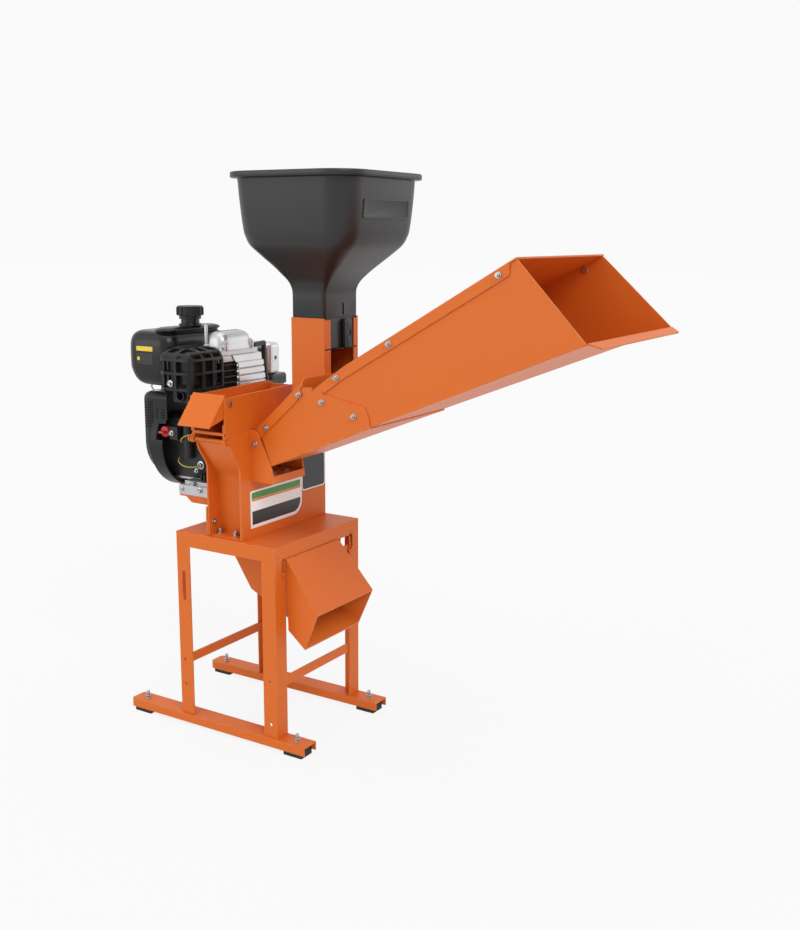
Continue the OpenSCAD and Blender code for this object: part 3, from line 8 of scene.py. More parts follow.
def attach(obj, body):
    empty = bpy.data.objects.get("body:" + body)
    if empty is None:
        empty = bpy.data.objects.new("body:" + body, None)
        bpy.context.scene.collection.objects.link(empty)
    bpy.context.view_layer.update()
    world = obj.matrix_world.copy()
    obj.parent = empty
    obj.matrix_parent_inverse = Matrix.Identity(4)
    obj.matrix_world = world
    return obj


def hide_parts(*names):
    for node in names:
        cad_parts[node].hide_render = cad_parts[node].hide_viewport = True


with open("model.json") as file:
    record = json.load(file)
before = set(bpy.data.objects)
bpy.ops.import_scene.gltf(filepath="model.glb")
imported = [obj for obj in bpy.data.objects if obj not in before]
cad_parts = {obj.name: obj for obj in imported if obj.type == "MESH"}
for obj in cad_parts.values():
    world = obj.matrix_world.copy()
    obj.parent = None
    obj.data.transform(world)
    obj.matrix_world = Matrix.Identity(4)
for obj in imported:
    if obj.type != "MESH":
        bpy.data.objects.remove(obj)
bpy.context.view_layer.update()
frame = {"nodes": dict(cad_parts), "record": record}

SCENE = bpy.context.scene
NODES = frame["nodes"]

# The part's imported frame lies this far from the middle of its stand
STAND_MID = Vector((-0.2805, 0.01826, 0.0))


def stand(x, y, z):
    """A point given in millimetres from the middle of the stand, on the floor."""
    return Vector((x, y, z)) / 1000 + STAND_MID


# CAMERA, solved from the corners of the stand: its place in the stand's millimetres, its angles in degrees

CAMERA_PLACE = (1633.2, -2047.4, 1157.1)
CAMERA_TURN, CAMERA_DROP, CAMERA_ROLL = 31.784, 11.596, 0.326
FOCAL_PIXELS = 1129.51
IMAGE_WIDTH = 800
SENSOR_WIDTH = 36


def place_camera():
    turn, drop, roll = (math.radians(angle) for angle in (CAMERA_TURN, CAMERA_DROP, CAMERA_ROLL))
    ahead = Vector((-math.sin(turn) * math.cos(drop), math.cos(turn) * math.cos(drop), -math.sin(drop)))
    right = Vector((math.cos(turn), math.sin(turn), 0))
    up = right.cross(ahead)
    side = math.cos(roll) * right + math.sin(roll) * up
    top = math.cos(roll) * up - math.sin(roll) * right
    camera = bpy.data.objects.new("camera", bpy.data.cameras.new("camera"))
    SCENE.collection.objects.link(camera)
    camera.matrix_world = Matrix.Translation(stand(*CAMERA_PLACE)) @ Matrix(
        (side, top, -ahead)).transposed().to_4x4()
    camera.data.sensor_fit = "HORIZONTAL"
    camera.data.sensor_width = SENSOR_WIDTH
    camera.data.lens = FOCAL_PIXELS * SENSOR_WIDTH / IMAGE_WIDTH
    camera.data.clip_end = 60
    SCENE.camera = camera


place_camera()
SCENE.view_settings.view_transform = "Standard"


# MATERIALS

# How steeply the lighter edges (part wear, part painted highlight) and their patches come up, and the patches' size
# and threshold
EDGE_GAIN, PATCH_GAIN, PATCH_SCALE, PATCH_FLOOR = 7.0, 5.0, 55.0, 0.38
# How far the roughness of a finish drifts
ROUGH_DRIFT = 0.1


def new_group(name, inputs, outputs):
    """A shader node group; inputs maps a name to a number or colour, outputs to a socket type."""
    group = bpy.data.node_groups.new(name, "ShaderNodeTree")
    for label, value in inputs.items():
        kind = "NodeSocketColor" if isinstance(value, tuple) else "NodeSocketFloat"
        group.interface.new_socket(label, in_out="INPUT", socket_type=kind).default_value = value
    for label, kind in outputs.items():
        group.interface.new_socket(label, in_out="OUTPUT", socket_type=kind)
    return group, group.nodes.new("NodeGroupInput"), group.nodes.new("NodeGroupOutput")


def maths(tree, operation, a, b=0.0, clamp=False):
    node = tree.nodes.new("ShaderNodeMath")
    node.operation = operation
    node.use_clamp = clamp
    for socket, value in zip(node.inputs, (a, b)):
        if isinstance(value, (int, float)):
            socket.default_value = value
        else:
            tree.links.new(value, socket)
    return node.outputs[0]


def blend_colour(tree, factor, a, b):
    node = tree.nodes.new("ShaderNodeMix")
    node.data_type = "RGBA"
    for socket, value in zip((node.inputs[0], node.inputs[6], node.inputs[7]), (factor, a, b)):
        if isinstance(value, (int, float, tuple)):
            socket.default_value = value
        else:
            tree.links.new(value, socket)
    return node.outputs[2]


def noise(tree, place, scale, detail=2.0):
    node = tree.nodes.new("ShaderNodeTexNoise")
    node.inputs["Detail"].default_value = detail
    if isinstance(scale, (int, float)):
        node.inputs["Scale"].default_value = scale
    else:
        tree.links.new(scale, node.inputs["Scale"])
    tree.links.new(place, node.inputs["Vector"])
    return node.outputs["Fac"]


def make_tone_group():
    """Slow change of tone over a surface: a colour that drifts a little, and a value with it."""
    group, given, out = new_group("tone_drift", {"Colour": (0.5, 0.5, 0.5, 1), "Amount": 0.1,
        "Scale": 6.0}, {"Colour": "NodeSocketColor", "Value": "NodeSocketFloat"})
    place = group.nodes.new("ShaderNodeTexCoord").outputs["Object"]
    drift = noise(group, place, given.outputs["Scale"], 3.0)
    level = maths(group, "MULTIPLY_ADD", drift, given.outputs["Amount"])
    level.node.inputs[2].default_value = 1.0
    shift = maths(group, "SUBTRACT", level, maths(group, "MULTIPLY", given.outputs["Amount"], 0.5))
    scale = group.nodes.new("ShaderNodeVectorMath")
    scale.operation = "SCALE"
    group.links.new(given.outputs["Colour"], scale.inputs[0])
    group.links.new(shift, scale.inputs["Scale"])
    group.links.new(scale.outputs[0], out.inputs["Colour"])
    group.links.new(drift, out.inputs["Value"])
    return group


def make_edge_group():
    """Where edges are lighter, as wear and as painted highlight: 1 on sharp corners, 0 on flats, broken up by
    grain.
    """
    group, given, out = new_group("edge_wear_and_highlight", {"Width": 0.0012, "Amount": 0.5},
        {"Mask": "NodeSocketFloat", "Normal": "NodeSocketVector"})
    bevel = group.nodes.new("ShaderNodeBevel")
    bevel.samples = 4
    group.links.new(given.outputs["Width"], bevel.inputs["Radius"])
    flat = group.nodes.new("ShaderNodeNewGeometry")
    dot = group.nodes.new("ShaderNodeVectorMath")
    dot.operation = "DOT_PRODUCT"
    group.links.new(bevel.outputs[0], dot.inputs[0])
    group.links.new(flat.outputs["Normal"], dot.inputs[1])
    sharp = maths(group, "MULTIPLY", maths(group, "SUBTRACT", 1.0, dot.outputs["Value"]), EDGE_GAIN, True)
    place = group.nodes.new("ShaderNodeTexCoord").outputs["Object"]
    patches = maths(group, "SUBTRACT", noise(group, place, PATCH_SCALE, 4.0), PATCH_FLOOR)
    broken = maths(group, "MULTIPLY", patches, PATCH_GAIN, True)
    mask = maths(group, "MULTIPLY", maths(group, "MULTIPLY", sharp, broken), given.outputs["Amount"], True)
    group.links.new(mask, out.inputs["Mask"])
    group.links.new(bevel.outputs[0], out.inputs["Normal"])
    return group


def make_grain_group():
    """Height of a fine surface: a broad ripple and a fine grain."""
    group, given, out = new_group("surface_grain", {"Ripple": 90.0, "Grain": 900.0, "Share": 0.5},
        {"Height": "NodeSocketFloat"})
    place = group.nodes.new("ShaderNodeTexCoord").outputs["Object"]
    ripple = noise(group, place, given.outputs["Ripple"], 1.0)
    grain = noise(group, place, given.outputs["Grain"], 2.0)
    fine = maths(group, "MULTIPLY", grain, given.outputs["Share"])
    coarse = maths(group, "MULTIPLY", ripple, maths(group, "SUBTRACT", 1.0, given.outputs["Share"]))
    group.links.new(maths(group, "ADD", fine, coarse), out.inputs["Height"])
    return group


TONE_DRIFT = make_tone_group()
EDGE_WEAR_AND_HIGHLIGHT = make_edge_group()
SURFACE_GRAIN = make_grain_group()


def use_group(tree, group, **values):
    node = tree.nodes.new("ShaderNodeGroup")
    node.node_tree = group
    for label, value in values.items():
        node.inputs[label].default_value = value
    return node


def finish(name, colour, rough, metal=0.0, drift=0.12, drift_scale=6.0, edge=None, edge_share=0.35,
        edge_width=0.0012, ripple=90.0, grain=900.0, share=0.5, bump=0.1, depth=0.0003, specular=0.5):
    """One finish: drifting tone, lighter edges that are part wear and part painted highlight, grain and their
    roughness.
    """
    material = bpy.data.materials.new(name)
    material.use_nodes = True
    tree = material.node_tree
    shader = tree.nodes["Principled BSDF"]
    tone = use_group(tree, TONE_DRIFT, Colour=(*colour, 1), Amount=drift, Scale=drift_scale)
    edges = use_group(tree, EDGE_WEAR_AND_HIGHLIGHT, Width=edge_width, Amount=edge_share)
    surface = use_group(tree, SURFACE_GRAIN, Ripple=ripple, Grain=grain, Share=share)
    # Edge colour, lighter than the finish: it stands for wear and for a painted highlight along sharp edges
    wear_and_highlight_colour = tuple(edge or [min(1, 1.25 * c + 0.03) for c in colour]) + (1,)
    tree.links.new(blend_colour(tree, edges.outputs["Mask"], tone.outputs["Colour"], wear_and_highlight_colour),
        shader.inputs["Base Color"])
    level = maths(tree, "MULTIPLY_ADD", tone.outputs["Value"], ROUGH_DRIFT)
    level.node.inputs[2].default_value = rough - ROUGH_DRIFT / 2
    tree.links.new(level, shader.inputs["Roughness"])
    relief = tree.nodes.new("ShaderNodeBump")
    relief.inputs["Strength"].default_value = bump
    relief.inputs["Distance"].default_value = depth
    tree.links.new(surface.outputs["Height"], relief.inputs["Height"])
    tree.links.new(edges.outputs["Normal"], relief.inputs["Normal"])
    tree.links.new(relief.outputs[0], shader.inputs["Normal"])
    shader.inputs["Metallic"].default_value = metal
    shader.inputs["Specular IOR Level"].default_value = specular
    return material


# The bright orange edge colour, wide and strong, is a painted highlight along the sheet's folded edges
PAINT = finish("orange_powder_coat", (0.71, 0.150, 0.0150), 0.42, drift=0.10, drift_scale=3.0,
    edge=(0.97, 0.42, 0.16), edge_share=0.75, edge_width=0.0018, ripple=160, grain=1500, share=0.35,
    bump=0.12, specular=0.28)
ZINC = finish("zinc_plated_steel", (0.44, 0.45, 0.47), 0.24, metal=1.0, drift=0.5, drift_scale=90,
    grain=2500, bump=0.08)
BARE_STEEL = finish("ground_steel", (0.50, 0.51, 0.53), 0.34, metal=1.0, drift=0.2, drift_scale=30,
    ripple=400, grain=3000, bump=0.12)
RUBBER = finish("foot_rubber", (0.012, 0.012, 0.012), 0.75, drift=0.3, drift_scale=25, grain=1800,
    bump=0.3)
# The lighter edge colour of this black plastic is a painted highlight along its edges
HOPPER_PLASTIC = finish("moulded_black_plastic", (0.020, 0.020, 0.021), 0.38, drift=0.35,
    drift_scale=4, edge=(0.10, 0.10, 0.10), edge_share=0.4, ripple=300, grain=2600, share=0.7, bump=0.14,
    specular=0.42)
# The lighter edge colour of this dark casting is a painted highlight along its edges
DARK_CAST = finish("dark_cast_alloy", (0.030, 0.031, 0.033), 0.42, metal=0.35, drift=0.5, drift_scale=25,
    edge=(0.16, 0.16, 0.17), ripple=500, grain=1600, share=0.6, bump=0.45, depth=0.0006, specular=0.3)
BRIGHT_CAST = finish("bright_cast_alloy", (0.52, 0.52, 0.53), 0.36, metal=0.75, drift=0.25,
    drift_scale=30, edge=(0.85, 0.85, 0.85), ripple=420, grain=1700, share=0.6, bump=0.4, depth=0.0005)
PRESSED_ALLOY = finish("pressed_aluminium", (0.70, 0.70, 0.71), 0.34, metal=0.7, drift=0.15,
    drift_scale=20, grain=2200, bump=0.1)
# The lighter edge colours of these three black finishes are painted highlights along their edges
BLACK_PAINT = finish("black_heat_paint", (0.012, 0.012, 0.013), 0.36, drift=0.3, drift_scale=20,
    edge=(0.12, 0.12, 0.12), ripple=250, grain=1400, bump=0.18, specular=0.25)
TANK_BLACK = finish("satin_black_tank", (0.008, 0.008, 0.009), 0.27, drift=0.2, drift_scale=8,
    edge=(0.07, 0.07, 0.07), ripple=60, grain=600, share=0.2, bump=0.05, specular=0.32)
CAP_PLASTIC = finish("black_cap_plastic", (0.018, 0.018, 0.019), 0.42, drift=0.2, drift_scale=30,
    edge=(0.10, 0.10, 0.10), grain=2400, bump=0.2, specular=0.3)
RED_PLASTIC = finish("red_plug_plastic", (0.50, 0.020, 0.022), 0.34, drift=0.15, drift_scale=40,
    grain=2000, bump=0.1)
WIRE_COVER = finish("yellow_green_lead", (0.45, 0.42, 0.05), 0.5, drift=0.3, drift_scale=80, bump=0.1)


def mask_where(tree, tests):
    """1 where any test on the object's own place passes: each is an axis, "<" or ">" and metres."""
    place = tree.nodes.new("ShaderNodeSeparateXYZ")
    tree.links.new(tree.nodes.new("ShaderNodeTexCoord").outputs["Object"], place.inputs[0])
    mask = None
    for axis, side, limit in tests:
        found = maths(tree, "LESS_THAN" if side == "<" else "GREATER_THAN", place.outputs[axis], limit)
        mask = found if mask is None else maths(tree, "MAXIMUM", mask, found)
    return mask


def two_finishes(name, main, colour, metal, tests):
    """A copy of a finish with another colour and metal share in one part of the piece."""
    material = main.copy()
    material.name = name
    tree = material.node_tree
    shader = tree.nodes["Principled BSDF"]
    mask = mask_where(tree, tests)
    own = shader.inputs["Base Color"].links[0].from_socket
    tree.links.new(blend_colour(tree, mask, own, (*colour, 1)), shader.inputs["Base Color"])
    was = shader.inputs["Metallic"].default_value
    share = maths(tree, "MULTIPLY_ADD", mask, metal - was)
    share.node.inputs[2].default_value = was
    tree.links.new(share, shader.inputs["Metallic"])
    return material


# Where a second finish begins, in the frame's metres: the engine's foot, the filter's cup and its hoses
FOOT_TOP, CUP_TOP, HOSE_SIDE = 0.5815, 0.8139, 0.1477
CRANKCASE_CAST = two_finishes("dark_cast_with_bright_foot", DARK_CAST, (0.50, 0.50, 0.51), 0.75,
    [("Z", "<", FOOT_TOP)])
FILTER_SHELL = two_finishes("aluminium_with_black_cup_and_hoses", PRESSED_ALLOY, (0.010, 0.010, 0.011), 0.0,
    [("Z", "<", CUP_TOP), ("Y", "<", HOSE_SIDE)])

FINISHES = {
    "paint_orange": PAINT, "zinc_steel": ZINC, "bare_steel": BARE_STEEL, "rubber": RUBBER,
    "hopper_plastic": HOPPER_PLASTIC, "cast_alloy": DARK_CAST, "bright_alloy": BRIGHT_CAST,
    "black_paint": BLACK_PAINT, "black_plastic": TANK_BLACK, "red_plastic": RED_PLASTIC,
    "wire_cover": WIRE_COVER,
}
OWN_FINISH = {"fuel_cap": CAP_PLASTIC, "recoil_handle": CAP_PLASTIC, "cylinder_shield": PRESSED_ALLOY,
    "air_filter": FILTER_SHELL, "crankcase": CRANKCASE_CAST, "cylinder_fins": DARK_CAST,
    "hopper_gate": BLACK_PAINT}


def dress_nodes():
    for part in frame["record"]["subparts"]:
        node = NODES[part["node"]]
        node.data.materials.clear()
        node.data.materials.append(OWN_FINISH.get(part["node"]) or FINISHES[part["material_slot"]])


dress_nodes()


# WORKSHOP

def clear():
    bpy.ops.object.select_all(action="DESELECT")


def focus(piece):
    """Selects one piece alone and makes it the active one."""
    clear()
    piece.select_set(True)
    bpy.context.view_layer.objects.active = piece


def active():
    return bpy.context.view_layer.objects.active


def set_place():
    bpy.ops.object.transform_apply(location=True, rotation=True, scale=True)
    return active()


def block(lo, hi):
    """A box between two corners, in millimetres from the middle of the stand."""
    clear()
    low, high = stand(*lo), stand(*hi)
    bpy.ops.mesh.primitive_cube_add(size=1, location=(low + high) / 2, scale=high - low)
    return set_place()


TURNS = {"X": (0, math.pi / 2, 0), "Y": (math.pi / 2, 0, 0), "Z": (0, 0, 0)}


def drum(centre, axis, radius, depth, sides=32):
    clear()
    bpy.ops.mesh.primitive_cylinder_add(vertices=sides, radius=radius / 1000, depth=depth / 1000,
        location=stand(*centre), rotation=TURNS[axis])
    return set_place()


def pick(piece, where, kind="FACE"):
    """Selects the faces, edges or points whose middle (and normal, for a face) pass a test."""
    mesh = piece.data
    for part in (*mesh.vertices, *mesh.edges, *mesh.polygons):
        part.select = False
    if kind == "FACE":
        for face in mesh.polygons:
            face.select = where(face.center, face.normal)
    elif kind == "EDGE":
        for edge in mesh.edges:
            ends = [mesh.vertices[i].co for i in edge.vertices]
            edge.select = where((ends[0] + ends[1]) / 2, ends[1] - ends[0])
    else:
        for point in mesh.vertices:
            point.select = where(point.co)
    SCENE.tool_settings.mesh_select_mode = (kind == "POINT", kind == "EDGE", kind == "FACE")


def shape(piece, where, *steps, kind="FACE"):
    """Edit-mode steps on what the test picks."""
    focus(piece)
    pick(piece, where, kind)
    bpy.ops.object.mode_set(mode="EDIT")
    for step in steps:
        step()
    bpy.ops.object.mode_set(mode="OBJECT")
    return piece


def inset(width, sink=0.0):
    return lambda: bpy.ops.mesh.inset(thickness=width / 1000, depth=sink / 1000)


def round_off(width, steps=4, of="EDGES"):
    return lambda: bpy.ops.mesh.bevel(offset=width / 1000, segments=steps, affect=of)


def modify(piece, kind, **settings):
    focus(piece)
    step = piece.modifiers.new(kind.lower(), kind)
    for label, value in settings.items():
        setattr(step, label, value)
    bpy.ops.object.modifier_apply(modifier=step.name)
    return piece


def smooth(piece, angle=35):
    focus(piece)
    bpy.ops.object.shade_smooth_by_angle(angle=math.radians(angle))
    return piece


def soften(piece, width, steps=3):
    """Bevels the edges that turn by more than 30 degrees."""
    modify(piece, "BEVEL", width=width / 1000, segments=steps, limit_method="ANGLE",
        angle_limit=math.radians(30))
    return smooth(piece, 40)


def join(*pieces):
    clear()
    for piece in pieces:
        piece.select_set(True)
    bpy.context.view_layer.objects.active = pieces[0]
    bpy.ops.object.join()
    return pieces[0]


def carve(piece, tool):
    """Cuts a closed tool out of a piece, and does away with the tool."""
    modify(piece, "BOOLEAN", operation="DIFFERENCE", solver="EXACT", object=tool)
    bpy.data.objects.remove(tool)
    return piece


def settle(piece, name, body, material):
    piece.name = name
    piece.data.name = name
    piece.data.materials.clear()
    piece.data.materials.append(material)
    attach(piece, body)
    return piece


# SKINS through rounded rectangles

RING_STEPS = 8


def new_ring(mid, half, radius, z):
    """The outline of a rounded rectangle at a height, in millimetres, with no face."""
    clear()
    bpy.ops.mesh.primitive_plane_add(size=1, location=stand(mid[0], mid[1], z))
    ring = active()
    ring.scale = (half[0] / 500, half[1] / 500, 1)
    set_place()
    return shape(ring, lambda p: True, round_off(radius, RING_STEPS, "VERTICES"),
        lambda: bpy.ops.mesh.select_all(action="SELECT"), lambda: bpy.ops.mesh.delete(type="ONLY_FACE"),
        kind="POINT")


def bridge_last(piece, first, second):
    """Faces between two rings, each given as a range of the piece's points."""
    mesh = piece.data
    for part in (*mesh.vertices, *mesh.polygons):
        part.select = False
    for edge in mesh.edges:
        ends = edge.vertices
        edge.select = all(i in first for i in ends) or all(i in second for i in ends)
    SCENE.tool_settings.mesh_select_mode = (False, True, False)
    focus(piece)
    bpy.ops.object.mode_set(mode="EDIT")
    bpy.ops.mesh.bridge_edge_loops()
    bpy.ops.object.mode_set(mode="OBJECT")


def loft(rings, closed=False):
    """A skin through rings (mid, half, radius, z); a closed one ends where it starts, others are capped."""
    skin = new_ring(*rings[0])
    count = len(skin.data.vertices)
    for level, ring in enumerate(rings[1:]):
        join(skin, new_ring(*ring))
        start = level * count
        bridge_last(skin, range(start, start + count), range(start + count, start + 2 * count))
    last = range(len(skin.data.vertices) - count, len(skin.data.vertices))
    if closed:
        bridge_last(skin, last, range(count))
    else:
        for end in (range(count), last):
            height = skin.data.vertices[end[0]].co.z
            shape(skin, lambda p: abs(p.z - height) < 1e-6, bpy.ops.mesh.edge_face_add, kind="POINT")
    return shape(skin, lambda c, n: True, bpy.ops.mesh.normals_make_consistent)


def between(knots, z):
    """Values at a height on a smooth line through knots, each a height and its values."""
    knots = [knots[0], *knots, knots[-1]]
    for a, b, c, d in zip(knots, knots[1:], knots[2:], knots[3:]):
        if b[0] <= z <= c[0]:
            t = (z - b[0]) / (c[0] - b[0])
            run = c[0] - b[0]
            values = []
            for va, vb, vc, vd in zip(a[1:], b[1:], c[1:], d[1:]):
                rise_b = (vc - va) / (c[0] - a[0]) * run
                rise_c = (vd - vb) / (d[0] - b[0]) * run
                values.append((2 * t ** 3 - 3 * t ** 2 + 1) * vb + (t ** 3 - 2 * t ** 2 + t) * rise_b
                    + (3 * t ** 2 - 2 * t ** 3) * vc + (t ** 3 - t ** 2) * rise_c)
            return values
    raise ValueError(z)


# HOPPER, moulded in one skin; its inside ends in the neck that the grain channel holds

HOPPER_MID = (156, 15.5)
SEAT = 975
HOPPER_WALL = 4
# Height, mean half width, how much longer than deep, corner radius, lean towards the chute
BOWL = ((1021, 54.75, 10.75, 9, 0), (1036, 56, 10.5, 10, 0), (1053, 63.4, 9, 15, 1), (1071, 78, 7.5, 22, 2),
    (1086, 92, 6, 30, 4), (1100, 106, 5, 36, 5), (1111, 117, 4, 42, 6), (1130, 134.5, 2, 51, 7),
    (1145, 142, 1, 56, 8), (1160, 146.2, 0, 58, 8.5), (1217, 152.3, 0, 61, 9), (1269, 155.7, 0, 62, 9))
# Rings every 5 mm where the bowl curves, and fewer above
BOWL_HEIGHTS = (*range(1021, 1162, 5), 1178, 1195, 1217, 1235, 1252, 1269)
# Height, half width and corner radius of the rim, which keeps the bowl's full lean
RIM = ((1270.2, 157.5, 63), (1270.6, 160, 64), (1270.8, 167, 70), (1271.6, 168.9, 71.5), (1273, 169.6, 72),
    (1281, 169.6, 72), (1282.8, 168.8, 71.5), (1283.7, 167.2, 70), (1284, 165, 68), (1283.8, 158.5, 63),
    (1283, 156, 61), (1280, 153.5, 59))
RIM_LEAN = 9
# How much longer the neck is than deep, each way from its mean half width
NECK_LONGER = 10.75
NECK_SLOT = ((191, 20, 980), (204, 26, 1006))


def make_hopper():
    def ring(z, mean, longer, radius, lean, off=0.0):
        return ((HOPPER_MID[0] + lean, HOPPER_MID[1]), (mean - longer + off, mean + longer + off),
            max(2, radius + off), z)

    outer = [ring(z, *between(BOWL, z)) for z in BOWL_HEIGHTS]
    inner = [ring(z, *between(BOWL, z), off=-HOPPER_WALL) for z in reversed(BOWL_HEIGHTS)]
    neck = [ring(SEAT + rise, mean, NECK_LONGER, radius, 0) for rise, mean, radius in (
        (-67, 51.25, 8), (-0.1, 51.25, 8), (0, 51.4, 8), (0.1, 54, 8.5), (1.5, 54.75, 9))]
    rim = [ring(z, mean, 0, radius, RIM_LEAN) for z, mean, radius in RIM]
    bore = [ring(SEAT + rise, 47.2, NECK_LONGER, 5, 0) for rise in (1.5, -66.6)]
    skin = loft(neck + outer + rim + inner + bore, closed=True)
    carve(skin, block(*NECK_SLOT))
    settle(smooth(skin, 32), "hopper_skin", "machine", HOPPER_PLASTIC)
    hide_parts("hopper")


make_hopper()


# ENGINE, its smooth castings and shells

TANK_MID = (-260.5, -12)
TANK_HALF = (70.5, 107.5)
# Height of each ring of the tank, and how far it draws in
TANK_RINGS = ((803, 22), (803.7, 17), (805.5, 12), (808.5, 8), (813, 4.5), (820, 1.8), (830, 0.4), (845, 0),
    (870, -0.4), (895, 0), (905, 1), (913, 3), (919, 6), (924, 10), (927.5, 15), (929.6, 21), (930.5, 29))
# Below this height the tank's side away from the housing draws in, over this fall, by twice this much
TANK_CUT, TANK_CUT_TOP, TANK_CUT_FALL = 9, 842, 38
SADDLE_MID = (-224, -14)
FLANGE_MID = (-118, 6)
DOME_MID = (-115, 5)
HEAD_CORNERS = ((-89, -40), (-89, 52), (-142, -40), (-142, 52))
POST_PLACE = (-134.5, -52)


def make_tank():
    rings = []
    for z, draw in TANK_RINGS:
        push = TANK_CUT * max(0.0, min(1.0, (TANK_CUT_TOP - z) / TANK_CUT_FALL))
        rings.append(((TANK_MID[0] + push, TANK_MID[1]), (TANK_HALF[0] - push - draw, TANK_HALF[1] - draw),
            max(12, 36 - draw / 2), z))
    body = loft(rings)
    saddle = loft([(SADDLE_MID, *ring) for ring in (((27, 88), 25, 924), ((27.5, 93), 26, 929.5),
        ((29, 98), 28, 931), ((29, 98), 28, 934), ((26, 94), 25, 936.5), ((20, 84), 19, 939))])
    neck = drum((-222, -8, 944), "Z", 22, 32, 48)
    soften(neck, 1.2)
    collar = drum((-222, -8, 941), "Z", 27, 6, 48)
    soften(collar, 1.6)
    tank = smooth(join(body, saddle, neck, collar))
    settle(tank, "tank_shell", "machine", TANK_BLACK)
    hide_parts("fuel_tank")


def make_head():
    base = block((-185, -62, 860), (-91, 89, 877))
    soften(base, 2)
    flange = loft([(FLANGE_MID, *ring) for ring in (((33, 72), 9, 877), ((34, 73), 10, 878), ((34, 73), 10, 888),
        ((33, 72), 9, 889))])
    dome = loft([(DOME_MID, (30 - off, 57 - off), max(6, 22 - off / 2), z) for z, off in ((888, -2), (890, -0.8),
        (893, 0), (905, 1), (915, 2.5), (921, 5), (926, 9), (929, 14), (931, 20), (931.8, 26))])
    pieces = [base, flange, dome]
    for x, y in HEAD_CORNERS:
        boss = drum((x, y, 896), "Z", 8, 16, 24)
        soften(boss, 1.4)
        pieces.append(boss)
    for step in range(5):
        rib = block((-183, -60 + 9 * step, 877), (-154, -57 + 9 * step, 886))
        soften(rib, 0.8, 2)
        pieces.append(rib)
    post = drum((*POST_PLACE, 906), "Z", 4, 82, 20)
    soften(post, 0.8, 2)
    nut = drum((*POST_PLACE, 898), "Z", 7.5, 7, 6)
    soften(nut, 0.7, 2)
    head = smooth(join(*pieces, post, nut))
    settle(head, "head_casting", "machine", BRIGHT_CAST)
    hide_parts("head_cover")


def bolt(place, axis, across, length):
    """A hexagon head with a sunk middle, on a washer.

    The place is its middle on the surface, and the axis a letter with its sign.
    """
    sign = -1 if axis[0] == "-" else 1
    line = axis[-1]
    index = "XYZ".index(line)

    def out(distance):
        return tuple(c + (sign * distance if i == index else 0) for i, c in enumerate(place))

    head = drum(out(length / 2 + 0.8), line, across / 2, length, 6)
    shape(head, lambda c, n: n[index] * sign > 0.9, inset(across * 0.13), inset(0.3, -length * 0.35))
    soften(head, 0.35, 2)
    washer = drum(out(0.9), line, across * 0.72, 1.8, 24)
    soften(washer, 0.4, 2)
    return join(head, washer)


def make_engine_bolts():
    bolts = [bolt(*each) for each in (((-135.5, -174.2, 823), "-Y", 11, 6), ((-207, -100.2, 692), "-Y", 9, 6),
        ((-138, -78.5, 619), "-Y", 14, 7), ((-154, -77, 604), "-Y", 8, 5), ((-149, -97, 573), "Z", 12, 7),
        ((-120, -105, 565), "-Y", 10, 5), ((-176, -105, 562), "-Y", 8, 4),
        *(((x, y, 904), "Z", 11, 6) for x, y in HEAD_CORNERS), ((-185, 60, 868), "-X", 10, 5))]
    settle(smooth(join(*bolts)), "engine_bolts", "machine", ZINC)


def make_oil_plug():
    knob = drum((-231, -92, 693), "Y", 13, 16, 40)
    soften(knob, 2.2)
    neck = drum((-231, -78.3, 693), "Y", 9, 11.4, 24)
    soften(neck, 0.6, 2)
    wing = block((-242, -113.5, 689.4), (-220, -98, 696.6))
    shape(wing, lambda c, n: n.y < -0.9, lambda: bpy.ops.transform.resize(value=(0.72, 1, 0.8)))
    soften(wing, 2.2)
    plug = settle(smooth(join(knob, neck, wing)), "oil_plug_knob", "oil_plug", RED_PLASTIC)
    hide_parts("oil_cap")


def new_line(name, kind, radius):
    """A round line without points yet: its curve and its spline, with the radius in millimetres."""
    line = bpy.data.curves.new(name, "CURVE")
    line.dimensions = "3D"
    line.bevel_depth = radius / 1000
    line.bevel_resolution = 3
    line.use_fill_caps = True
    return line, line.splines.new(kind)


BRACKET_KNOTS = ((-284, -80, 805), (-285, -80, 793), (-276, -80, 787), (-262, -80, 787.5), (-252, -80, 793),
    (-243, -80, 805))
BRACKET_RADIUS = 1.9


def make_tank_bracket():
    """The bent steel wire between the tank and the starter's cover."""
    line, spline = new_line("tank_bracket", "BEZIER", BRACKET_RADIUS)
    spline.bezier_points.add(len(BRACKET_KNOTS) - 1)
    for point, knot in zip(spline.bezier_points, BRACKET_KNOTS):
        point.co = stand(*knot)
        point.handle_left_type = point.handle_right_type = "AUTO"
    wire = bpy.data.objects.new("tank_bracket", line)
    SCENE.collection.objects.link(wire)
    focus(wire)
    bpy.ops.object.convert(target="MESH")
    settle(active(), "tank_bracket", "machine", ZINC)


# How far the bowl's face draws in for each millimetre down
BOWL_SLOPE = 0.08


def make_hopper_frame():
    """The raised frame on the bowl's face towards the chute, bare inside."""
    mid_y, half_y, low, high = 16, 87, 1187, 1227
    plate = block((309, mid_y - half_y, low), (319.9, mid_y + half_y, high))
    shape(plate, lambda mid, along: abs(along.x) > 1e-5, round_off(4, 4), kind="EDGE")
    shape(plate, lambda c, n: n.x > 0.9, inset(2.6), inset(0.5, -1.1))
    shape(plate, lambda p: p.z < (low + 12) / 1000 and p.x > (309.5 + STAND_MID.x * 1000) / 1000,
        lambda: bpy.ops.transform.translate(value=(-BOWL_SLOPE * (high - low) / 1000, 0, 0)), kind="POINT")
    soften(plate, 0.4, 2)
    settle(plate, "hopper_frame", "machine", HOPPER_PLASTIC)


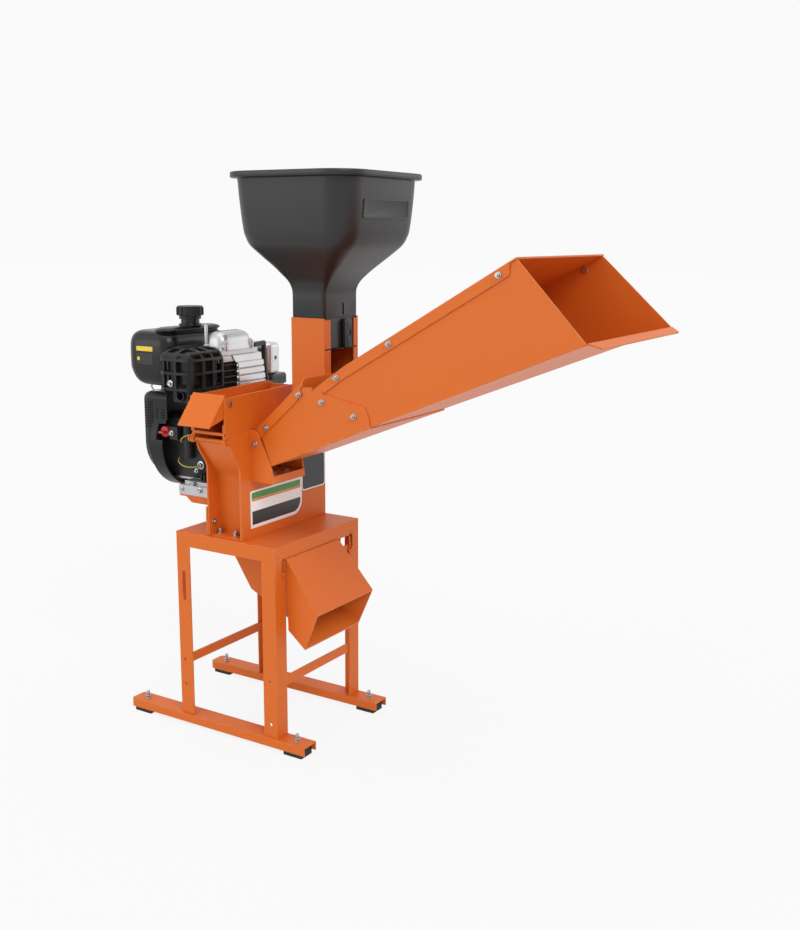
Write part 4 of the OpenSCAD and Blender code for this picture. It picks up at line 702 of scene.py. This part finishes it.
def make_gate():
    """The grain gate: a sliding plate whose tongue passes between the channel's lips to its tab."""
    plate = block((115.3, -46.7, 905.3), (196.5, 77.7, 907.8))
    shape(plate, lambda mid, along: abs(along.z) > 1e-5, round_off(2, 3), kind="EDGE")
    tongue = block((196, -8, 905.3), (203.3, 58, 907.8))
    tab = block((200.3, 20, 905.3), (203.3, 54, 971.3))
    shape(tab, lambda mid, along: abs(along.x) > 1e-6 and mid.z > 0.96, round_off(9, 5), kind="EDGE")
    rib = block((202.8, 20.5, 907), (206.2, 24.5, 966))
    soften(rib, 1.2)
    carve(tab, drum((202, 43, 938.3), "X", 5, 12, 24))
    for piece in (plate, tongue, tab):
        soften(piece, 0.5, 2)
    gate = settle(smooth(join(plate, tongue, tab, rib)), "gate_plate", "gate", BLACK_PAINT)
    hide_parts("hopper_gate")


def copy_of(node):
    """A merged copy of a CAD node's mesh, to be worked on."""
    piece = bpy.data.objects.new(node + "_copy", NODES[node].data.copy())
    SCENE.collection.objects.link(piece)
    return shape(piece, lambda p: True, lambda: bpy.ops.mesh.remove_doubles(threshold=0.00002),
        lambda: bpy.ops.mesh.tris_convert_to_quads(face_threshold=0.02, shape_threshold=3.1), kind="POINT")


def make_guard():
    """The muffler's cage, its bars a little thicker than the solid's and rounded."""
    cage = copy_of("muffler_guard")
    shape(cage, lambda c, n: True, lambda: bpy.ops.transform.shrink_fatten(value=0.0014, use_even_offset=True))
    soften(cage, 1.3, 2)
    settle(smooth(cage, 45), "guard_cage", "machine", BLACK_PAINT)
    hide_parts("muffler_guard")


def make_engine_plate():
    """The engine's plate with the solid's side triangles cut down to lips.

    The photograph shows no triangle at the near side, and the far side isn't seen.
    """
    plate = copy_of("engine_plate")
    for near, far in ((-108, -90), (90, 108)):
        carve(plate, block((-195, near, 470), (-64, far, 533)))
    soften(plate, 0.8, 2)
    settle(smooth(plate), "plate_with_lips", "machine", PAINT)
    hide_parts("engine_plate")


make_guard()
make_engine_plate()
make_gate()
make_tank()
make_tank_bracket()
make_hopper_frame()
make_head()
make_engine_bolts()
make_oil_plug()


# LEADS of the engine's oil switch, the only cords; their routes are those of the part's own source

UPPER_LEAD = ((-190, -75.08, 668), (-186, -92, 674), (-178, -98, 682), (-168, -98, 688), (-154, -90, 693),
    (-150, -73.55, 694))
LOWER_LEAD = ((-206, -77.31, 630), (-200, -88, 624), (-184, -94, 617), (-162, -94, 614), (-142, -88, 617),
    (-137, -77.9, 620))
LEAD_RADIUS = 1.6


def smooth_route(knots, steps=4):
    """Points on one smooth line through the knots, in the frame's metres."""
    knots = [stand(*knot) for knot in knots]
    padded = [2 * knots[0] - knots[1], *knots, 2 * knots[-1] - knots[-2]]
    route = []
    for before, start, end, after in zip(padded, padded[1:], padded[2:], padded[3:]):
        for step in range(steps):
            t = step / steps
            route.append(0.5 * (2 * start + (end - before) * t + (2 * before - 5 * start + 4 * end - after) * t ** 2
                + (3 * start - before - 3 * end + after) * t ** 3))
    return route + [knots[-1]]


def make_lead(name, knots):
    route = smooth_route(knots)
    line, spline = new_line(name, "POLY", LEAD_RADIUS)
    spline.points.add(len(route) - 1)
    for point, place in zip(spline.points, route):
        point.co = (*place, 1)
    lead = bpy.data.objects.new(name, line)
    SCENE.collection.objects.link(lead)
    line.materials.append(WIRE_COVER)
    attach(lead, "machine")
    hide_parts("engine_wires")


make_lead("upper_lead", UPPER_LEAD)
make_lead("lower_lead", LOWER_LEAD)


# STICKERS on the tank, one bare strip and one bare plate

def film(name, lo, hi, radius, material):
    """A thin film on an upright face towards -Y, its corners rounded."""
    piece = block(lo, hi)
    shape(piece, lambda mid, along: abs(along.y) > 1e-5 and abs(along.x) < 1e-6 and abs(along.z) < 1e-6,
        round_off(radius, 6), kind="EDGE")
    return settle(piece, name, "machine", material)


# LABELS, left bare where the real ones carry print

FRONT_PLATE_X = 46
LABEL_THICKNESS = 0.3


def label(name, y, z, proud, corner, material):
    """A thin sticker on the housing's front plate; corner(right, top) gives the radius of a corner."""
    clear()
    mid = stand(FRONT_PLATE_X + proud, (y[0] + y[1]) / 2, (z[0] + z[1]) / 2)
    bpy.ops.mesh.primitive_plane_add(size=1, location=mid, rotation=(0, math.pi / 2, 0))
    piece = active()
    piece.scale = ((z[1] - z[0]) / 1000, (y[1] - y[0]) / 1000, 1)
    set_place()
    for right in (False, True):
        for top in (False, True):
            radius = corner(right, top)
            if radius:
                shape(piece, lambda p: (p.y > mid.y) == right and (p.z > mid.z) == top
                    and abs(abs(p.y - mid.y) - (y[1] - y[0]) / 2000) < 1e-5
                    and abs(abs(p.z - mid.z) - (z[1] - z[0]) / 2000) < 1e-5,
                    round_off(radius, 8, "VERTICES"), kind="POINT")
    modify(piece, "SOLIDIFY", thickness=LABEL_THICKNESS / 1000, offset=-1)
    return settle(piece, name, "machine", material)


WHITE_FILM = finish("white_label_film", (0.93, 0.93, 0.92), 0.32, drift=0.04, bump=0.03, edge_share=0)
BLACK_FILM = finish("black_label_film", (0.012, 0.012, 0.014), 0.30, drift=0.1, bump=0.03, edge_share=0)
GREEN_FILM = finish("green_label_film", (0.06, 0.27, 0.035), 0.32, drift=0.9, drift_scale=120, bump=0.03,
    edge_share=0)
ORANGE_FILM = finish("orange_label_film", (0.80, 0.22, 0.03), 0.32, drift=0.04, bump=0.03, edge_share=0)
YELLOW_FILM = finish("yellow_label_film", (0.85, 0.62, 0.03), 0.32, drift=0.04, bump=0.03, edge_share=0)


def make_labels():
    label("front_label", (-124, 68), (500, 587), 0.35, lambda right, top: 32 if right and not top else 3,
        WHITE_FILM)
    label("front_label_green", (-119, 62), (568, 582.5), 0.6, lambda right, top: 0, GREEN_FILM)
    label("front_label_orange", (-119, 62), (562.5, 567.5), 0.6, lambda right, top: 0, ORANGE_FILM)
    label("front_label_black", (-118, 62), (508, 539), 0.6, lambda right, top: 27 if right and not top else 0,
        BLACK_FILM)
    label("side_label", (69, 163), (551, 636), 0.35, lambda right, top: 9, WHITE_FILM)
    label("side_label_black", (72, 160), (554, 633), 0.6, lambda right, top: 7, BLACK_FILM)


make_labels()
film("tank_strip", (-291, -120.3, 884), (-240, -119.2, 895), 1.5, YELLOW_FILM)
film("tank_plate", (-291, -120.3, 853), (-240, -119.2, 879), 1.5, BLACK_FILM)
film("tank_plate_mark", (-289, -120.6, 862), (-281, -120.1, 870), 1.5, YELLOW_FILM)


# STAGE

def seen_directly(tree):
    """1 for the rays of the camera and those that metal and glass send on, which show the background."""
    path = tree.nodes.new("ShaderNodeLightPath")
    return maths(tree, "ADD", maths(tree, "ADD", path.outputs["Is Camera Ray"], path.outputs["Is Glossy Ray"]),
        path.outputs["Is Transmission Ray"], True)


# How much of the floor that such a ray sees is plain paper; the rest keeps the shadow
PAPER_SHARE = 0.90


def make_floor():
    clear()
    bpy.ops.mesh.primitive_plane_add(size=60)
    floor = bpy.context.object
    floor.name = "floor"
    material = bpy.data.materials.new("pale_floor")
    material.use_nodes = True
    tree = material.node_tree
    shader = tree.nodes["Principled BSDF"]
    shader.inputs["Base Color"].default_value = (0.80, 0.80, 0.80, 1)
    shader.inputs["Roughness"].default_value = 0.9
    shader.inputs["Specular IOR Level"].default_value = 0.0
    glow = tree.nodes.new("ShaderNodeEmission")
    glow.inputs["Color"].default_value = (0.975, 0.975, 0.975, 1)
    mix = tree.nodes.new("ShaderNodeMixShader")
    share = maths(tree, "MULTIPLY", seen_directly(tree), PAPER_SHARE)
    tree.links.new(share, mix.inputs[0])
    tree.links.new(shader.outputs[0], mix.inputs[1])
    tree.links.new(glow.outputs[0], mix.inputs[2])
    tree.links.new(mix.outputs[0], tree.nodes["Material Output"].inputs["Surface"])
    floor.data.materials.append(material)


def make_world():
    world = bpy.data.worlds.new("studio")
    SCENE.world = world
    world.use_nodes = True
    tree = world.node_tree
    tree.nodes.clear()
    out = tree.nodes.new("ShaderNodeOutputWorld")
    room = tree.nodes.new("ShaderNodeBackground")
    room.inputs["Color"].default_value = (1, 1, 1, 1)
    room.inputs["Strength"].default_value = 0.48
    paper = tree.nodes.new("ShaderNodeBackground")
    paper.inputs["Color"].default_value = (0.956, 0.956, 0.956, 1)
    mix = tree.nodes.new("ShaderNodeMixShader")
    tree.links.new(seen_directly(tree), mix.inputs[0])
    tree.links.new(room.outputs[0], mix.inputs[1])
    tree.links.new(paper.outputs[0], mix.inputs[2])
    tree.links.new(mix.outputs[0], out.inputs["Surface"])


# Name, direction, strength and spread in degrees
SUNS = (("key_light", (-0.62, 0.42, -0.66), 0.95, 28), ("fill_light", (0.55, 0.75, -0.36), 0.35, 60),
    ("left_softbox", (0.53, 0.83, -0.06), 0.55, 40), ("right_softbox", (-0.60, -0.80, -0.06), 0.45, 40),
    ("top_light", (0.05, 0.08, -1.0), 0.95, 60))


def make_sun(name, towards, strength, spread):
    light = bpy.data.lights.new(name, "SUN")
    light.energy = strength
    light.angle = math.radians(spread)
    lamp = bpy.data.objects.new(name, light)
    SCENE.collection.objects.link(lamp)
    lamp.rotation_euler = Vector(towards).to_track_quat("-Z", "Y").to_euler()


make_floor()
make_world()
for sun in SUNS:
    make_sun(*sun)
